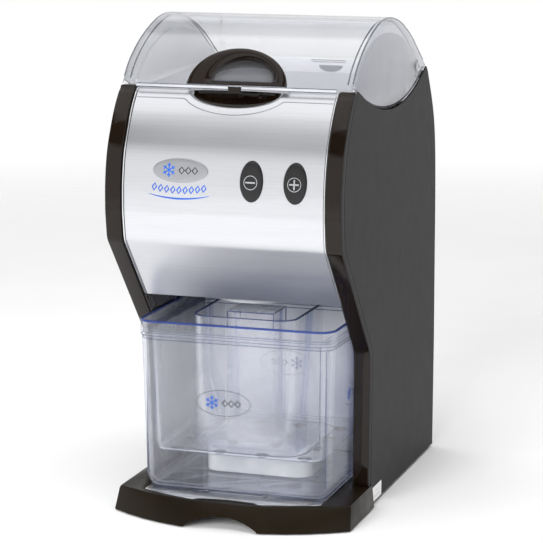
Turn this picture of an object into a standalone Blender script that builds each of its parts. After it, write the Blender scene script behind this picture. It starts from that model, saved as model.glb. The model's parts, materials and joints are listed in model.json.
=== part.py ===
"""Countertop ice crusher.

A dark moulded base carries two glossy front pillars, matt side skins and a brushed
front panel.  A clear lid hinges over the ice hopper; below it a belt driven rotor
crushes the ice through a comb, and it drops down a chute into a clear tub that
stands on a drip grid.  X runs across the machine, the front faces -Y and +Z is up.
The origin is the centre of the footprint, on the counter.  Units are metres.
"""
import math

import bmesh
import bpy
from mathutils import Matrix, Vector

# ---------------------------------------------------------------- driving dimensions
HALF_WIDTH = 0.110            # over the side skins
HALF_DEPTH = 0.1775           # front of the base to the back
BASE_BOW = 0.1808             # middle of the base's bowed front, before its arch is cut
LID_TOP = 0.453
BASE_TOP = 0.022
HEAD_FLOOR = 0.200            # underside of the head, above the tub
PANEL_TOP = 0.392
PILLAR_TOP = 0.395

GAP = 0.0003                  # between pieces that touch
WELD = 0.00001
SKIN = 0.0016                 # side skins
SHEET = 0.0015                # front panel and rear cover
PILLAR_INNER = 0.0954         # inner face of each pillar
PANEL_RECESS = 0.0035         # panel surface behind the pillar fronts
LID_WALL = 0.0022
LID_HALF = 0.1080             # outer faces of the lid's end discs
CLEAR_WALL = 0.0020           # tub and scoop
BASKET_WALL = 0.0016

# Lid pivot (Y, Z) and the free space that its back edge sweeps
PIVOT = (0.0965, 0.3993)
TROUGH_RADIUS = 0.0362

# Crushing rotor and motor axes (Y, Z), both along X
ROTOR = (-0.063, 0.283)
MOTOR = (0.112, 0.255)
SHAFT_RADIUS = 0.006
MOTOR_SHAFT_RADIUS = 0.005
CHAMBER_RADIUS = 0.042
CHAMBER_HALF = 0.068
KNIFE_RADIUS = 0.038
KNIFE_PITCH = 0.022
KNIFE_COUNT = 6
PULLEY_X = 0.0925             # middle of the belt
BELT_WIDTH = 0.009
BELT_THICKNESS = 0.0022
DRIVEN_RADIUS = 0.0382        # 80 teeth
DRIVER_RADIUS = 0.00764       # 16 teeth

# Ice outlet under the head (X is 0)
OUTLET_Y = -0.063
OUTLET_RADIUS = 0.043

# Buttons on the front panel
BUTTON_Z = 0.3175
BUTTON_X = {"button_minus": 0.0267, "button_plus": 0.0669}
BUTTON_HALF = (0.01035, 0.01775)
BUTTON_PROUD = 0.0028

# Tub bay
BAY_HALF = 0.0942             # inner faces of the bay's sides
BAY_BACK = 0.054
GRID_TOP = 0.0224
TUB_FLOOR = 0.0227
TUB_RIM = 0.1810
TUB_BAND = 0.1655
TUB_FRONT = -0.139
TUB_BACK = 0.048
TUB_HALF = 0.0938             # over the rim
TUB_NECK = 0.0905             # just below the rim
TUB_FOOT = 0.0888             # above the rounded bottom edge
BASKET_FLOOR = 0.0567
BASKET_HALF = 0.0905          # over the rim, which rests on the tub's shoulder
BASKET_NECK = 0.0838
BASKET_FOOT = 0.0812
BASKET_HOLE = 0.0040
SKIRT = (0.0520, -0.0700, 0.0200)          # half width, front and back
SCOOP = (0.0500, -0.1165, -0.0200)         # half width, front and back
SCOOP_TOP = 0.1840
GRIP = (0.0225, -0.0880, -0.0500)          # half width, front and back
GRIP_TOP = 0.1845

# Planes for flat outlines: local x, y and thickness become ...
PLAN = Matrix.Identity(4)                                                    # X, Y and Z
SIDE = Matrix(((0, 0, 1, 0), (1, 0, 0, 0), (0, 1, 0, 0), (0, 0, 0, 1)))      # Y, Z and X
FRONT = Matrix.Rotation(math.pi / 2, 4, "X")                                 # X, Z and -Y
AXIS_X = Matrix.Rotation(math.pi / 2, 4, "Y")                                # turned about X
AXIS_Z = Matrix.Identity(4)                                                  # turned about Z

# ---------------------------------------------------------------- colours
LOOKS = {
    # name: colour, roughness, metallic, transmission
    "gloss_black": ((0.020, 0.013, 0.010), 0.12, 0.0, 0.0),
    "base_black": ((0.022, 0.015, 0.012), 0.30, 0.0, 0.0),
    "skin_charcoal": ((0.045, 0.043, 0.043), 0.55, 0.0, 0.0),
    "brushed_silver": ((0.62, 0.63, 0.65), 0.30, 0.95, 0.0),
    "stainless": ((0.60, 0.61, 0.62), 0.22, 1.0, 0.0),
    "clear_lid": ((0.93, 0.94, 0.96), 0.05, 0.0, 0.9),
    "clear_tub": ((0.88, 0.92, 0.98), 0.05, 0.0, 0.9),
    "hopper_grey": ((0.72, 0.73, 0.76), 0.40, 0.0, 0.0),
    "white_plastic": ((0.85, 0.86, 0.87), 0.35, 0.0, 0.0),
    "button_black": ((0.015, 0.015, 0.017), 0.35, 0.0, 0.0),
    "steel": ((0.50, 0.50, 0.51), 0.35, 1.0, 0.0),
    "cast_alloy": ((0.55, 0.56, 0.58), 0.45, 1.0, 0.0),
    "rubber": ((0.020, 0.020, 0.020), 0.80, 0.0, 0.0),
    "motor_paint": ((0.10, 0.11, 0.13), 0.50, 0.2, 0.0),
    "board_green": ((0.03, 0.16, 0.07), 0.50, 0.0, 0.0),
    "component_grey": ((0.25, 0.26, 0.28), 0.50, 0.0, 0.0),
    "dark_plastic": ((0.030, 0.028, 0.028), 0.50, 0.0, 0.0),
}

for old in list(bpy.data.objects):
    bpy.data.objects.remove(old, do_unlink=True)

PARTS = bpy.data.collections.new("ice_crusher")
CUTTERS = bpy.data.collections.new("ice_crusher_cutters")
for collection in (PARTS, CUTTERS):
    bpy.context.scene.collection.children.link(collection)


# ---------------------------------------------------------------- helpers
def material_for(name, look):
    """A Principled material of the piece's own."""
    colour, roughness, metallic, transmission = LOOKS[look]
    material = bpy.data.materials.new(name)
    material.use_nodes = True
    shader = material.node_tree.nodes["Principled BSDF"]
    shader.inputs["Base Color"].default_value = (*colour, 1.0)
    shader.inputs["Roughness"].default_value = roughness
    shader.inputs["Metallic"].default_value = metallic
    shader.inputs["Transmission Weight"].default_value = transmission
    return material


def place(name, mesh, matrix, look):
    """Link a mesh as a part when it has a look, or as a hidden cutter when it has none."""
    piece = bpy.data.objects.new(name, mesh)
    piece.matrix_world = matrix
    if look is None:
        CUTTERS.objects.link(piece)
        piece.hide_render = True
        piece.display_type = "WIRE"
        return piece
    PARTS.objects.link(piece)
    mesh.materials.clear()
    mesh.materials.append(material_for(name, look))
    mesh.shade_smooth()
    mesh.set_sharp_from_angle(angle=math.radians(35))
    return piece


def finish_mesh(name, bm):
    bmesh.ops.recalc_face_normals(bm, faces=bm.faces)
    mesh = bpy.data.meshes.new(name)
    bm.to_mesh(mesh)
    bm.free()
    return mesh


def curve_to_mesh(name, curve):
    """The evaluated curve as a welded, closed mesh."""
    source = bpy.data.objects.new(name + "_curve", curve)
    CUTTERS.objects.link(source)
    bpy.context.view_layer.update()
    evaluated = source.evaluated_get(bpy.context.evaluated_depsgraph_get())
    raw = bpy.data.meshes.new_from_object(evaluated)
    bm = bmesh.new()
    bm.from_mesh(raw)
    bmesh.ops.remove_doubles(bm, verts=bm.verts, dist=WELD)
    bpy.data.objects.remove(source, do_unlink=True)
    return finish_mesh(name, bm)


def plate(name, outline, thickness, plane, offset, look, holes=()):
    """A flat outline, centred on its plane and given a thickness."""
    curve = bpy.data.curves.new(name, "CURVE")
    curve.dimensions = "2D"
    curve.fill_mode = "BOTH"
    curve.extrude = thickness / 2
    for loop in (outline, *holes):
        spline = curve.splines.new("POLY")
        spline.points.add(len(loop) - 1)
        for point, (u, v) in zip(spline.points, loop):
            point.co = (u, v, 0.0, 1.0)
        spline.use_cyclic_u = True
    return place(name, curve_to_mesh(name, curve), Matrix.Translation(offset) @ plane, look)


def slab_x(name, outline, low_x, high_x, look, holes=()):
    """A side outline (Y, Z) that fills the space between two X planes."""
    middle = (low_x + high_x) / 2
    return plate(name, outline, high_x - low_x, SIDE, (middle, 0, 0), look, holes)


def slab_z(name, outline, low_z, high_z, look, holes=()):
    """A plan outline (X, Y) that fills the space between two heights."""
    middle = (low_z + high_z) / 2
    return plate(name, outline, high_z - low_z, PLAN, (0, 0, middle), look, holes)


def sheet(name, profile, half_width, thickness, look):
    """A bent sheet: an open side profile (Y, Z) across X, thickened behind its surface."""
    curve = bpy.data.curves.new(name, "CURVE")
    curve.dimensions = "2D"
    curve.extrude = half_width
    spline = curve.splines.new("POLY")
    spline.points.add(len(profile) - 1)
    for point, (u, v) in zip(spline.points, profile):
        point.co = (u, v, 0.0, 1.0)
    piece = place(name, curve_to_mesh(name, curve), SIDE, look)
    solidify = piece.modifiers.new("thickness", "SOLIDIFY")
    solidify.thickness = thickness
    solidify.offset = -1.0
    solidify.use_even_offset = True
    return piece


def loft(name, rings, look, tube=False):
    """A solid through rings of equal point count; a tube closes back on its first ring."""
    bm = bmesh.new()
    loops = [[bm.verts.new(point) for point in ring] for ring in rings]
    pairs = list(zip(loops, loops[1:]))
    if tube:
        pairs.append((loops[-1], loops[0]))
    count = len(loops[0])
    for lower, upper in pairs:
        for index in range(count):
            after = (index + 1) % count
            bm.faces.new((lower[index], lower[after], upper[after], upper[index]))
    if not tube:
        bm.faces.new(loops[0])
        bm.faces.new(loops[-1])
    return place(name, finish_mesh(name, bm), Matrix.Identity(4), look)


def box(name, low, high, look, bevel=0.0):
    """A block between two corners, with optional rounded edges."""
    bm = bmesh.new()
    bmesh.ops.create_cube(bm, size=1.0)
    size = [b - a for a, b in zip(low, high)]
    bmesh.ops.scale(bm, vec=size, verts=bm.verts)
    middle = Vector([(a + b) / 2 for a, b in zip(low, high)])
    piece = place(name, finish_mesh(name, bm), Matrix.Translation(middle), look)
    if bevel:
        rounding = piece.modifiers.new("rounded_edges", "BEVEL")
        rounding.width = bevel
        rounding.segments = 2
    return piece


def rod(name, radius, start, end, look, sides=24):
    """A plain cylinder from start to end, which differ along X, Y or Z."""
    bm = bmesh.new()
    axis = Vector(end) - Vector(start)
    bmesh.ops.create_cone(bm, cap_ends=True, segments=sides, radius1=radius, radius2=radius,
                          depth=axis.length)
    turn = axis.to_track_quat("Z", "Y").to_matrix().to_4x4()
    middle = (Vector(start) + Vector(end)) / 2
    return place(name, finish_mesh(name, bm), Matrix.Translation(middle) @ turn, look)


def ball(name, centre, radii, look, segments=24, rings=12):
    """An ellipsoid."""
    bm = bmesh.new()
    bmesh.ops.create_uvsphere(bm, u_segments=segments, v_segments=rings, radius=1.0)
    bmesh.ops.scale(bm, vec=radii, verts=bm.verts)
    return place(name, finish_mesh(name, bm), Matrix.Translation(centre), look)


def turned(name, profile, centre, axis, look, steps=24, ring=False):
    """A turned piece: (radius, height) points down the outer side; a ring's profile closes."""
    bm = bmesh.new()
    verts = [bm.verts.new((radius, 0.0, height)) for radius, height in profile]
    for first, second in zip(verts, verts[1:]):
        bm.edges.new((first, second))
    if ring:
        bm.edges.new((verts[-1], verts[0]))
    mesh = bpy.data.meshes.new(name)
    bm.to_mesh(mesh)
    bm.free()
    piece = place(name, mesh, Matrix.Translation(centre) @ axis, look)
    screw = piece.modifiers.new("turn", "SCREW")
    screw.steps = steps
    screw.render_steps = steps
    screw.use_merge_vertices = True
    screw.merge_threshold = WELD
    screw.use_smooth_shade = True
    return piece


def collar(name, inner, outer, low, high, centre, axis, look, steps=24):
    """A plain ring about an axis, between two places along it."""
    profile = [(outer, high), (outer, low), (inner, low), (inner, high)]
    return turned(name, profile, centre, axis, look, steps, ring=True)


def combine(piece, tool, operation):
    """Cut with or join a hidden piece."""
    change = piece.modifiers.new(tool.name, "BOOLEAN")
    change.operation = operation
    change.solver = "EXACT"
    change.object = tool
    return piece


def cut(piece, *tools):
    for tool in tools:
        combine(piece, tool, "DIFFERENCE")
    return piece


def join(piece, *tools):
    for tool in tools:
        combine(piece, tool, "UNION")
    return piece


def joint_frame(name, location, pieces):
    """An empty on a joint's axis that carries the pieces that move with it."""
    empty = bpy.data.objects.new(name, None)
    empty.empty_display_size = 0.03
    empty.location = location
    PARTS.objects.link(empty)
    for piece in pieces:
        piece.parent = empty
        piece.matrix_parent_inverse = Matrix.Translation(location).inverted()
    return empty


# ---------------------------------------------------------------- outlines
def smooth(points, steps=4):
    """A Catmull-Rom curve through hand placed points."""
    padded = [points[0], *points, points[-1]]
    result = []
    for a, b, c, d in zip(padded, padded[1:], padded[2:], padded[3:]):
        for index in range(steps):
            t = index / steps
            result.append(tuple(
                0.5 * (2 * q + (r - p) * t + (2 * p - 5 * q + 4 * r - s) * t * t
                       + (3 * q - p - 3 * r + s) * t ** 3)
                for p, q, r, s in zip(a, b, c, d)))
    result.append(points[-1])
    return result


def arc(centre, radius, start, end, steps):
    """Points on a circle, angles in degrees."""
    angles = [math.radians(start + (end - start) * i / steps) for i in range(steps + 1)]
    return [(centre[0] + radius * math.cos(a), centre[1] + radius * math.sin(a)) for a in angles]


def arc_through(first, middle, last, steps):
    """Points on the circle through three points, from the first to the last."""
    (ax, ay), (bx, by), (cx, cy) = first, middle, last
    d = 2 * (ax * (by - cy) + bx * (cy - ay) + cx * (ay - by))
    a2, b2, c2 = ax * ax + ay * ay, bx * bx + by * by, cx * cx + cy * cy
    ux = (a2 * (by - cy) + b2 * (cy - ay) + c2 * (ay - by)) / d
    uy = (a2 * (cx - bx) + b2 * (ax - cx) + c2 * (bx - ax)) / d
    radius = math.hypot(ax - ux, ay - uy)
    angles = [math.degrees(math.atan2(y - uy, x - ux)) for x, y in (first, middle, last)]
    start, via, end = angles
    for turn in (-360, 360):
        if not min(start, end) < via < max(start, end):
            if min(start, end + turn) < via + (turn if via < -180 else 0) < max(start, end + turn):
                end += turn
                break
    return arc((ux, uy), radius, start, end, steps)


def rounded(corners, steps=4):
    """A closed outline from (u, v, radius) corners."""
    result = []
    count = len(corners)
    for index, (u, v, radius) in enumerate(corners):
        here = Vector((u, v))
        if radius == 0:
            result.append((u, v))
            continue
        back = (Vector(corners[index - 1][:2]) - here).normalized()
        ahead = (Vector(corners[(index + 1) % count][:2]) - here).normalized()
        half = back.angle(ahead) / 2
        reach = radius / math.tan(half)
        centre = here + (back + ahead).normalized() * (radius / math.sin(half))
        start = here + back * reach - centre
        end = here + ahead * reach - centre
        sweep = start.angle_signed(end)
        for step in range(steps + 1):
            angle = -sweep * step / steps
            turned_arm = Matrix.Rotation(angle, 2) @ start
            result.append(tuple(centre + turned_arm))
    return result


def ring_at(half_x, front, back, z, radius, steps=4):
    """A rounded rectangle in plan, at one height."""
    corners = [(-half_x, front, radius), (half_x, front, radius),
               (half_x, back, radius), (-half_x, back, radius)]
    return [(x, y, z) for x, y in rounded(corners, steps)]


def oval(half_x, half_z, count=24):
    angles = [2 * math.pi * i / count for i in range(count)]
    return [(half_x * math.cos(a), half_z * math.sin(a)) for a in angles]


def shifted(points, u=0.0, v=0.0):
    return [(a + u, b + v) for a, b in points]


def circle(centre, radius, sides):
    return arc(centre, radius, 0, 360 * (sides - 1) / sides, sides - 1)


# The machine's front silhouette, from the pillar tops down to the base
CROWN = [(-0.1300, PILLAR_TOP), (-0.1455, 0.377), (-0.1575, 0.3565), (-0.1660, 0.336),
         (-0.1705, 0.310), (-0.1708, 0.285)]
BEND = (-0.1673, 0.2600)
KNEE = (-0.0700, 0.1503)
FOOT = (-0.0705, BASE_TOP + GAP)


def silhouette():
    """Front face of the pillars (Y, Z), top to bottom."""
    lower = rounded([(*CROWN[-1], 0), (*BEND, 0.014), (*KNEE, 0.022), (*FOOT, 0)], 5)
    return smooth(CROWN, 4) + lower[1:]


FACE = silhouette()


def face_y(z):
    """Y of the pillar fronts at a height."""
    for (y0, z0), (y1, z1) in zip(FACE, FACE[1:]):
        if z1 <= z <= z0:
            return y0 + (y1 - y0) * (z0 - z) / (z0 - z1)
    return FACE[-1][0]


def pillar_depth(z):
    """Depth of the pillars along Y: slimmer below the bend."""
    return 0.0080 + 0.0028 * min(1.0, max(0.0, (z - 0.12) / 0.10))


def back_edge(inset=0.0):
    """Back of the side skins (Y, Z), bottom to top."""
    curve = smooth([(HALF_DEPTH, 0.115), (0.1752, 0.190), (0.1732, 0.265), (0.1685, 0.318),
                    (0.1575, 0.353), (0.1330, 0.392)], 3)
    return [(y - inset, z) for y, z in [(HALF_DEPTH, 0.003), *curve]]


LID_CROWN = [(-0.1320, 0.397), (-0.1140, 0.4165), (-0.0830, 0.4355), (-0.0430, 0.4497),
             (-0.0080, LID_TOP), (0.0320, 0.4470), (0.0720, 0.4320), (0.1020, 0.4155),
             (0.1310, 0.3986)]


def offset_path(points, distance):
    """An open path moved sideways to its left by a distance."""
    result = []
    for index, point in enumerate(points):
        before = Vector(points[max(index - 1, 0)])
        after = Vector(points[min(index + 1, len(points) - 1)])
        along = (after - before).normalized()
        result.append((point[0] - along.y * distance, point[1] + along.x * distance))
    return result


# ---------------------------------------------------------------- base and grid
def base_ring(z, half_x, corner_y, front_y):
    """The base's plan outline: bowed front, wide shoulders and a narrower rear."""
    bow = arc_through((-half_x, corner_y), (0, front_y), (half_x, corner_y), 12)
    rear_half = HALF_WIDTH - SKIN - GAP
    step_y = FOOT[0] + pillar_depth(0) - GAP
    tail = [(half_x, step_y), (rear_half, step_y), (rear_half, HALF_DEPTH - 0.0030),
            (-rear_half, HALF_DEPTH - 0.0030), (-rear_half, step_y), (-half_x, step_y)]
    return [(x, y, z) for x, y in bow + tail]


def make_base():
    floor = 0.010
    base = loft("base_tray", [base_ring(0.0012, 0.1137, -0.1440, -BASE_BOW),
                              base_ring(0.0200, 0.1120, -0.1360, -0.1665),
                              base_ring(BASE_TOP, 0.1110, -0.1345, -0.1650)], "base_black")
    basin_back = BAY_BACK - 0.008
    ledge = slab_z("cut_grid_ledge", grid_outline(0.0006), GRID_TOP - 0.0017, 0.03, None)
    basin = loft("cut_basin", [ring_at(0.078, -0.128, basin_back - 0.004, floor, 0.008),
                               ring_at(0.081, -0.131, basin_back, 0.030, 0.010)], None)
    rear = box("cut_rear_floor", (-0.104, BAY_BACK + 0.006, floor), (0.104, 0.172, 0.03), None)
    below = loft("cut_underside", [base_ring_inner(-0.002, 0.109), base_ring_inner(0.007, 0.108)],
                 None)
    notch = plate("cut_finger_arch", arch_outline(0.035, 0.012), 0.070, FRONT,
                  (0, -0.170, 0), None)
    cut(base, ledge, basin, rear, below, notch)
    feet = []
    for side, x in (("left", -0.092), ("right", 0.092)):
        for end, y in (("front", -0.118), ("rear", 0.150)):
            profile = [(0, 0.0067), (0.0085, 0.0067), (0.0100, 0.0052), (0.0092, 0.0), (0, 0.0)]
            feet.append(turned(f"foot_{end}_{side}", profile, (x, y, 0), AXIS_Z, "rubber", 20))
    return base


def base_ring_inner(z, half_x):
    """Inside of the skirt below the base, with flat bands left under the side skins."""
    bow = arc_through((-half_x, -0.137), (0, -0.166), (half_x, -0.137), 12)
    step_y = FOOT[0] - 0.001
    tail = [(half_x, step_y), (0.104, step_y), (0.104, 0.172), (-0.104, 0.172),
            (-0.104, step_y), (-half_x, step_y)]
    return [(x, y, z) for x, y in bow + tail]


def arch_outline(half, rise):
    """A low arch that starts below the base's lower edge."""
    crown = arc_through((half, 0.002), (0, rise), (-half, 0.002), 10)
    return [(-half - 0.002, -0.004), (half + 0.002, -0.004)] + crown


def grid_outline(grow=0.0):
    """The drip grid in plan: bowed front with a shallow finger notch."""
    half = 0.0853 + grow
    corner = -0.140 - grow
    left = arc_through((-half, corner), (-0.060, -0.1515 - grow), (-0.032, -0.1575 - grow), 4)
    right = [(-x, y) for x, y in reversed(left)]
    notch = smooth([(-0.026, -0.1545), (0.0, -0.1515), (0.026, -0.1545)], 3)
    if grow:
        notch = [(0.0, -0.1600)]
    back = BAY_BACK - 0.0005 + grow
    return left + notch + right + [(half, back), (-half, back)]


def make_grid():
    holes = [circle((x, -0.1310), 0.003, 10) for x in (-0.0283, 0.0283)]
    for row in range(8):
        y = -0.0785 + row * 0.0146
        holes += [circle((x, y), 0.00125, 6) for x in (-0.0746, 0.0746)]
    for row in range(4):
        y = -0.0785 + row * 0.0292
        holes += [circle((x, y), 0.0020, 6) for x in (-0.045, -0.015, 0.015, 0.045)]
    low = GRID_TOP - 0.0014
    grid = slab_z("drip_grid", grid_outline(), low, GRID_TOP, "stainless", holes)
    joint_frame("drip_grid_lift", (0, -0.045, GRID_TOP), [grid])


# ---------------------------------------------------------------- casing
def make_pillars():
    behind = [(y + pillar_depth(z), z) for y, z in reversed(FACE)]
    for side, sign in (("left", -1), ("right", 1)):
        low, high = sorted((sign * PILLAR_INNER, sign * HALF_WIDTH))
        pillar = slab_x(f"front_pillar_{side}", FACE + behind, low, high, "gloss_black")
        rounding = pillar.modifiers.new("rounded_edges", "BEVEL")
        rounding.width = 0.0012
        rounding.segments = 1
        rounding.angle_limit = math.radians(50)


def make_skins():
    front = [(y + pillar_depth(z) + GAP, z) for y, z in FACE]
    front[-1] = (front[-1][0], 0.003)
    recess = arc_through((0.1275, 0.3965), (0.000, 0.3677), (-0.1072, 0.3905), 16)
    outline = back_edge() + recess + front
    for side, sign in (("left", -1), ("right", 1)):
        low, high = sorted((sign * (HALF_WIDTH - SKIN), sign * HALF_WIDTH))
        slab_x(f"side_panel_{side}", outline, low, high, "skin_charcoal")


def make_front_panel():
    profile = [(y + PANEL_RECESS, z) for y, z in FACE if HEAD_FLOOR < z < PANEL_TOP]
    profile = [(face_y(PANEL_TOP) + PANEL_RECESS, PANEL_TOP), *profile,
               (face_y(HEAD_FLOOR) + PANEL_RECESS, HEAD_FLOOR)]
    panel = sheet("front_panel", profile, PILLAR_INNER - GAP, SHEET, "brushed_silver")
    for name, x in BUTTON_X.items():
        opening = oval(BUTTON_HALF[0] + GAP, BUTTON_HALF[1] + GAP, 24)
        hole = plate("cut_" + name, shifted(opening, x, BUTTON_Z), 0.03, FRONT,
                     (0, -0.165, 0), None)
        cut(panel, hole)
    scoop = plate("cut_crescent", shifted(oval(0.043, 0.0145, 28), 0, PANEL_TOP + 0.0005), 0.05,
                  FRONT, (0, -0.130, 0), None)
    cut(panel, scoop)
    make_finger_recess()


def finger_centre():
    return (0, face_y(PANEL_TOP) + PANEL_RECESS + SHEET + GAP, PANEL_TOP)


def make_finger_recess():
    """The black dish behind the crescent in the panel's top edge."""
    centre = finger_centre()
    dish = ball("finger_recess", centre, (0.0455, 0.0150, 0.0175), "gloss_black", 28, 14)
    hollow = ball("cut_dish", centre, (0.0430, 0.0130, 0.0150), None, 28, 14)
    above = box("cut_dish_top", (-0.06, -0.20, PANEL_TOP - 0.0005), (0.06, 0.0, 0.43), None)
    profile = [(py + PANEL_RECESS + SHEET + 0.0008, pz) for py, pz in FACE if pz > 0.33]
    front = slab_x("cut_dish_front", [*profile, (-0.30, 0.33), (-0.30, 0.43), (-0.115, 0.43)],
                   -0.06, 0.06, None)
    cut(dish, hollow, above, front)


def make_buttons():
    for name, x in BUTTON_X.items():
        rings = []
        for scale, lift in ((0.72, BUTTON_PROUD + 0.0006), (0.92, BUTTON_PROUD + 0.0002),
                            (1.0, BUTTON_PROUD - 0.0012)):
            outline = oval(BUTTON_HALF[0] * scale, BUTTON_HALF[1] * scale, 24)
            rings.append([(x + u, face_y(BUTTON_Z + v) + PANEL_RECESS - lift, BUTTON_Z + v)
                          for u, v in outline])
        for scale, y in ((1.0, -0.1592), (1.12, -0.1592), (1.12, -0.1578)):
            outline = oval(BUTTON_HALF[0] * scale, BUTTON_HALF[1] * scale, 24)
            rings.append([(x + u, y, BUTTON_Z + v) for u, v in outline])
        button = loft(name, rings, "button_black")
        joint_frame(name + "_press", (x, -0.1660, BUTTON_Z), [button])
        short = name.replace("button_", "")
        box("switch_" + short, (x - 0.008, -0.1553, BUTTON_Z - 0.008),
            (x + 0.008, -0.1450, BUTTON_Z + 0.008), "dark_plastic", 0.0008)
    box("button_board", (0.006, -0.1447, 0.294), (0.090, -0.1431, 0.342), "board_green")


def make_rear_cover():
    profile = [(y, z) for y, z in back_edge(0.0010)]
    profile[0] = (profile[0][0], 0.0225)
    cover = sheet("rear_cover", list(reversed(profile)), HALF_WIDTH - SKIN - GAP, SHEET,
                  "skin_charcoal")
    bm = bmesh.new()
    for row in range(7):
        for column in (-1, 1):
            made = bmesh.ops.create_cube(bm, size=1.0)
            bmesh.ops.scale(bm, vec=(0.060, 0.02, 0.0040), verts=made["verts"])
            bmesh.ops.translate(bm, vec=(column * 0.042, 0.174, 0.215 + row * 0.011),
                                verts=made["verts"])
    slots = place("cut_vents", finish_mesh("cut_vents", bm), Matrix.Identity(4), None)
    inlet = rod("cut_inlet", 0.0083, (0.070, 0.16, 0.045), (0.070, 0.20, 0.045), None)
    cut(cover, slots, inlet)
    profile = [(0.0040, 0.019), (0.0080, 0.019), (0.0080, 0.0), (0.0040, 0.0)]
    turned("cable_inlet", profile, (0.070, 0.1590, 0.045), Matrix.Rotation(-math.pi / 2, 4, "X"),
           "dark_plastic", 20, ring=True)


# ---------------------------------------------------------------- tub bay
def make_bay():
    front = [(y + 0.0015, z) for y, z in FACE if z < HEAD_FLOOR - 0.002]
    front = [(face_y(HEAD_FLOOR - 0.0006) + 0.0015, HEAD_FLOOR - 0.0006), *front]
    outline = [(BAY_BACK - GAP, BASE_TOP + GAP), (BAY_BACK - GAP, HEAD_FLOOR - 0.0006)] + front
    outline[-1] = (outline[-1][0], BASE_TOP + GAP)
    for side, sign in (("left", -1), ("right", 1)):
        low, high = sorted((sign * BAY_HALF, sign * (BAY_HALF + 0.001)))
        slab_x(f"bay_side_{side}", outline, low, high, "dark_plastic")
    box("bay_back", (-BAY_HALF - 0.001, BAY_BACK, BASE_TOP + GAP),
        (BAY_HALF + 0.001, BAY_BACK + 0.0012, HEAD_FLOOR - 0.0006), "white_plastic")
    edge = face_y(HEAD_FLOOR) + PANEL_RECESS + SHEET + 0.0010
    outline = rounded([(-0.0951, edge, 0), (0.0951, edge, 0), (0.0951, BAY_BACK + 0.0012, 0),
                       (-0.0951, BAY_BACK + 0.0012, 0)])
    hole = circle((0, OUTLET_Y), OUTLET_RADIUS + GAP, 28)
    slab_z("head_floor", outline, HEAD_FLOOR, HEAD_FLOOR + SHEET, "dark_plastic", [hole])


# ---------------------------------------------------------------- lid
def make_lid():
    crown = smooth(LID_CROWN, 4)
    lower = arc_through((0.1300, 0.3975), (0.0050, 0.3713), (-0.1200, 0.3965), 20)
    lid = slab_x("lid", crown + lower, -LID_HALF, LID_HALF, "clear_lid")
    inner = offset_path(crown, -LID_WALL)
    inner = inner[1:-1]
    room = [(inner[-1][0] + 0.004, 0.36), (inner[0][0] - 0.002, 0.36)]
    hollow = slab_x("cut_lid_inside", inner + room, -LID_HALF + LID_WALL, LID_HALF - LID_WALL, None)
    bore = rod("cut_lid_pivot", 0.0028, (-0.2, *PIVOT), (0.2, *PIVOT), None, 16)
    cut(lid, hollow, bore)
    handle, catch = make_handle(crown)
    joint_frame("lid_hinge", (0, *PIVOT), [lid, handle, catch])
    profile = [(0, 0.0018), (0.0046, 0.0018), (0.0055, 0.0010), (0.0055, 0.0), (0.0025, 0.0),
               (0.0025, -0.0075), (0, -0.0075)]
    for side, sign in (("left", -1), ("right", 1)):
        axis = AXIS_X if sign > 0 else Matrix.Rotation(-math.pi / 2, 4, "Y")
        turned(f"lid_screw_{side}", profile, (sign * (LID_HALF + GAP), *PIVOT), axis, "steel", 16)


def make_handle(crown):
    """A glossy half oval on the lid's front edge, hollowed for the fingers."""
    foot = Vector((0, -0.1348, 0.3966))
    up = Vector((0, 0.0180, 0.0330)).normalized()
    out = Vector((0, -up.z, up.y))
    turn = Matrix((Vector((1, 0, 0)), up, -Vector((0, out.y, out.z)).normalized())).transposed()
    frame = Matrix.Translation(foot) @ turn.to_4x4()
    half = arc((0, 0), 1.0, 0, 180, 20)
    outline = [(0.047 * u, 0.0375 * v) for u, v in half]
    curve_plate = plate("lid_handle", outline, 0.020, PLAN, (0, 0, 0), "gloss_black")
    curve_plate.matrix_world = frame @ Matrix.Translation((0, 0, 0.0095))
    rounding = curve_plate.modifiers.new("rounded_edges", "BEVEL")
    rounding.width = 0.0025
    rounding.segments = 3
    rounding.angle_limit = math.radians(40)
    below = [(-0.20, 0.3972), (0.0, 0.3972), (0.0, 0.30), (-0.20, 0.30)]
    under = slab_x("cut_handle_under", below, -0.06, 0.06, None)
    grown = offset_path(crown, GAP)
    body = slab_x("cut_handle_lid", grown + [(0.12, 0.38), (-0.1317, 0.38)], -0.08, 0.08, None)
    pocket = ball("cut_handle_pocket", (0, 0, 0), (0.031, 0.0275, 0.0085), None, 24, 12)
    pocket.matrix_world = frame
    cut(curve_plate, under, body, pocket)
    y = LID_CROWN[0][0]
    catch = box("lid_catch", (-0.006, y - 0.0022, 0.3915), (0.006, y - 0.0004, 0.3969),
                "gloss_black", 0.0004)
    return curve_plate, catch


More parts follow.
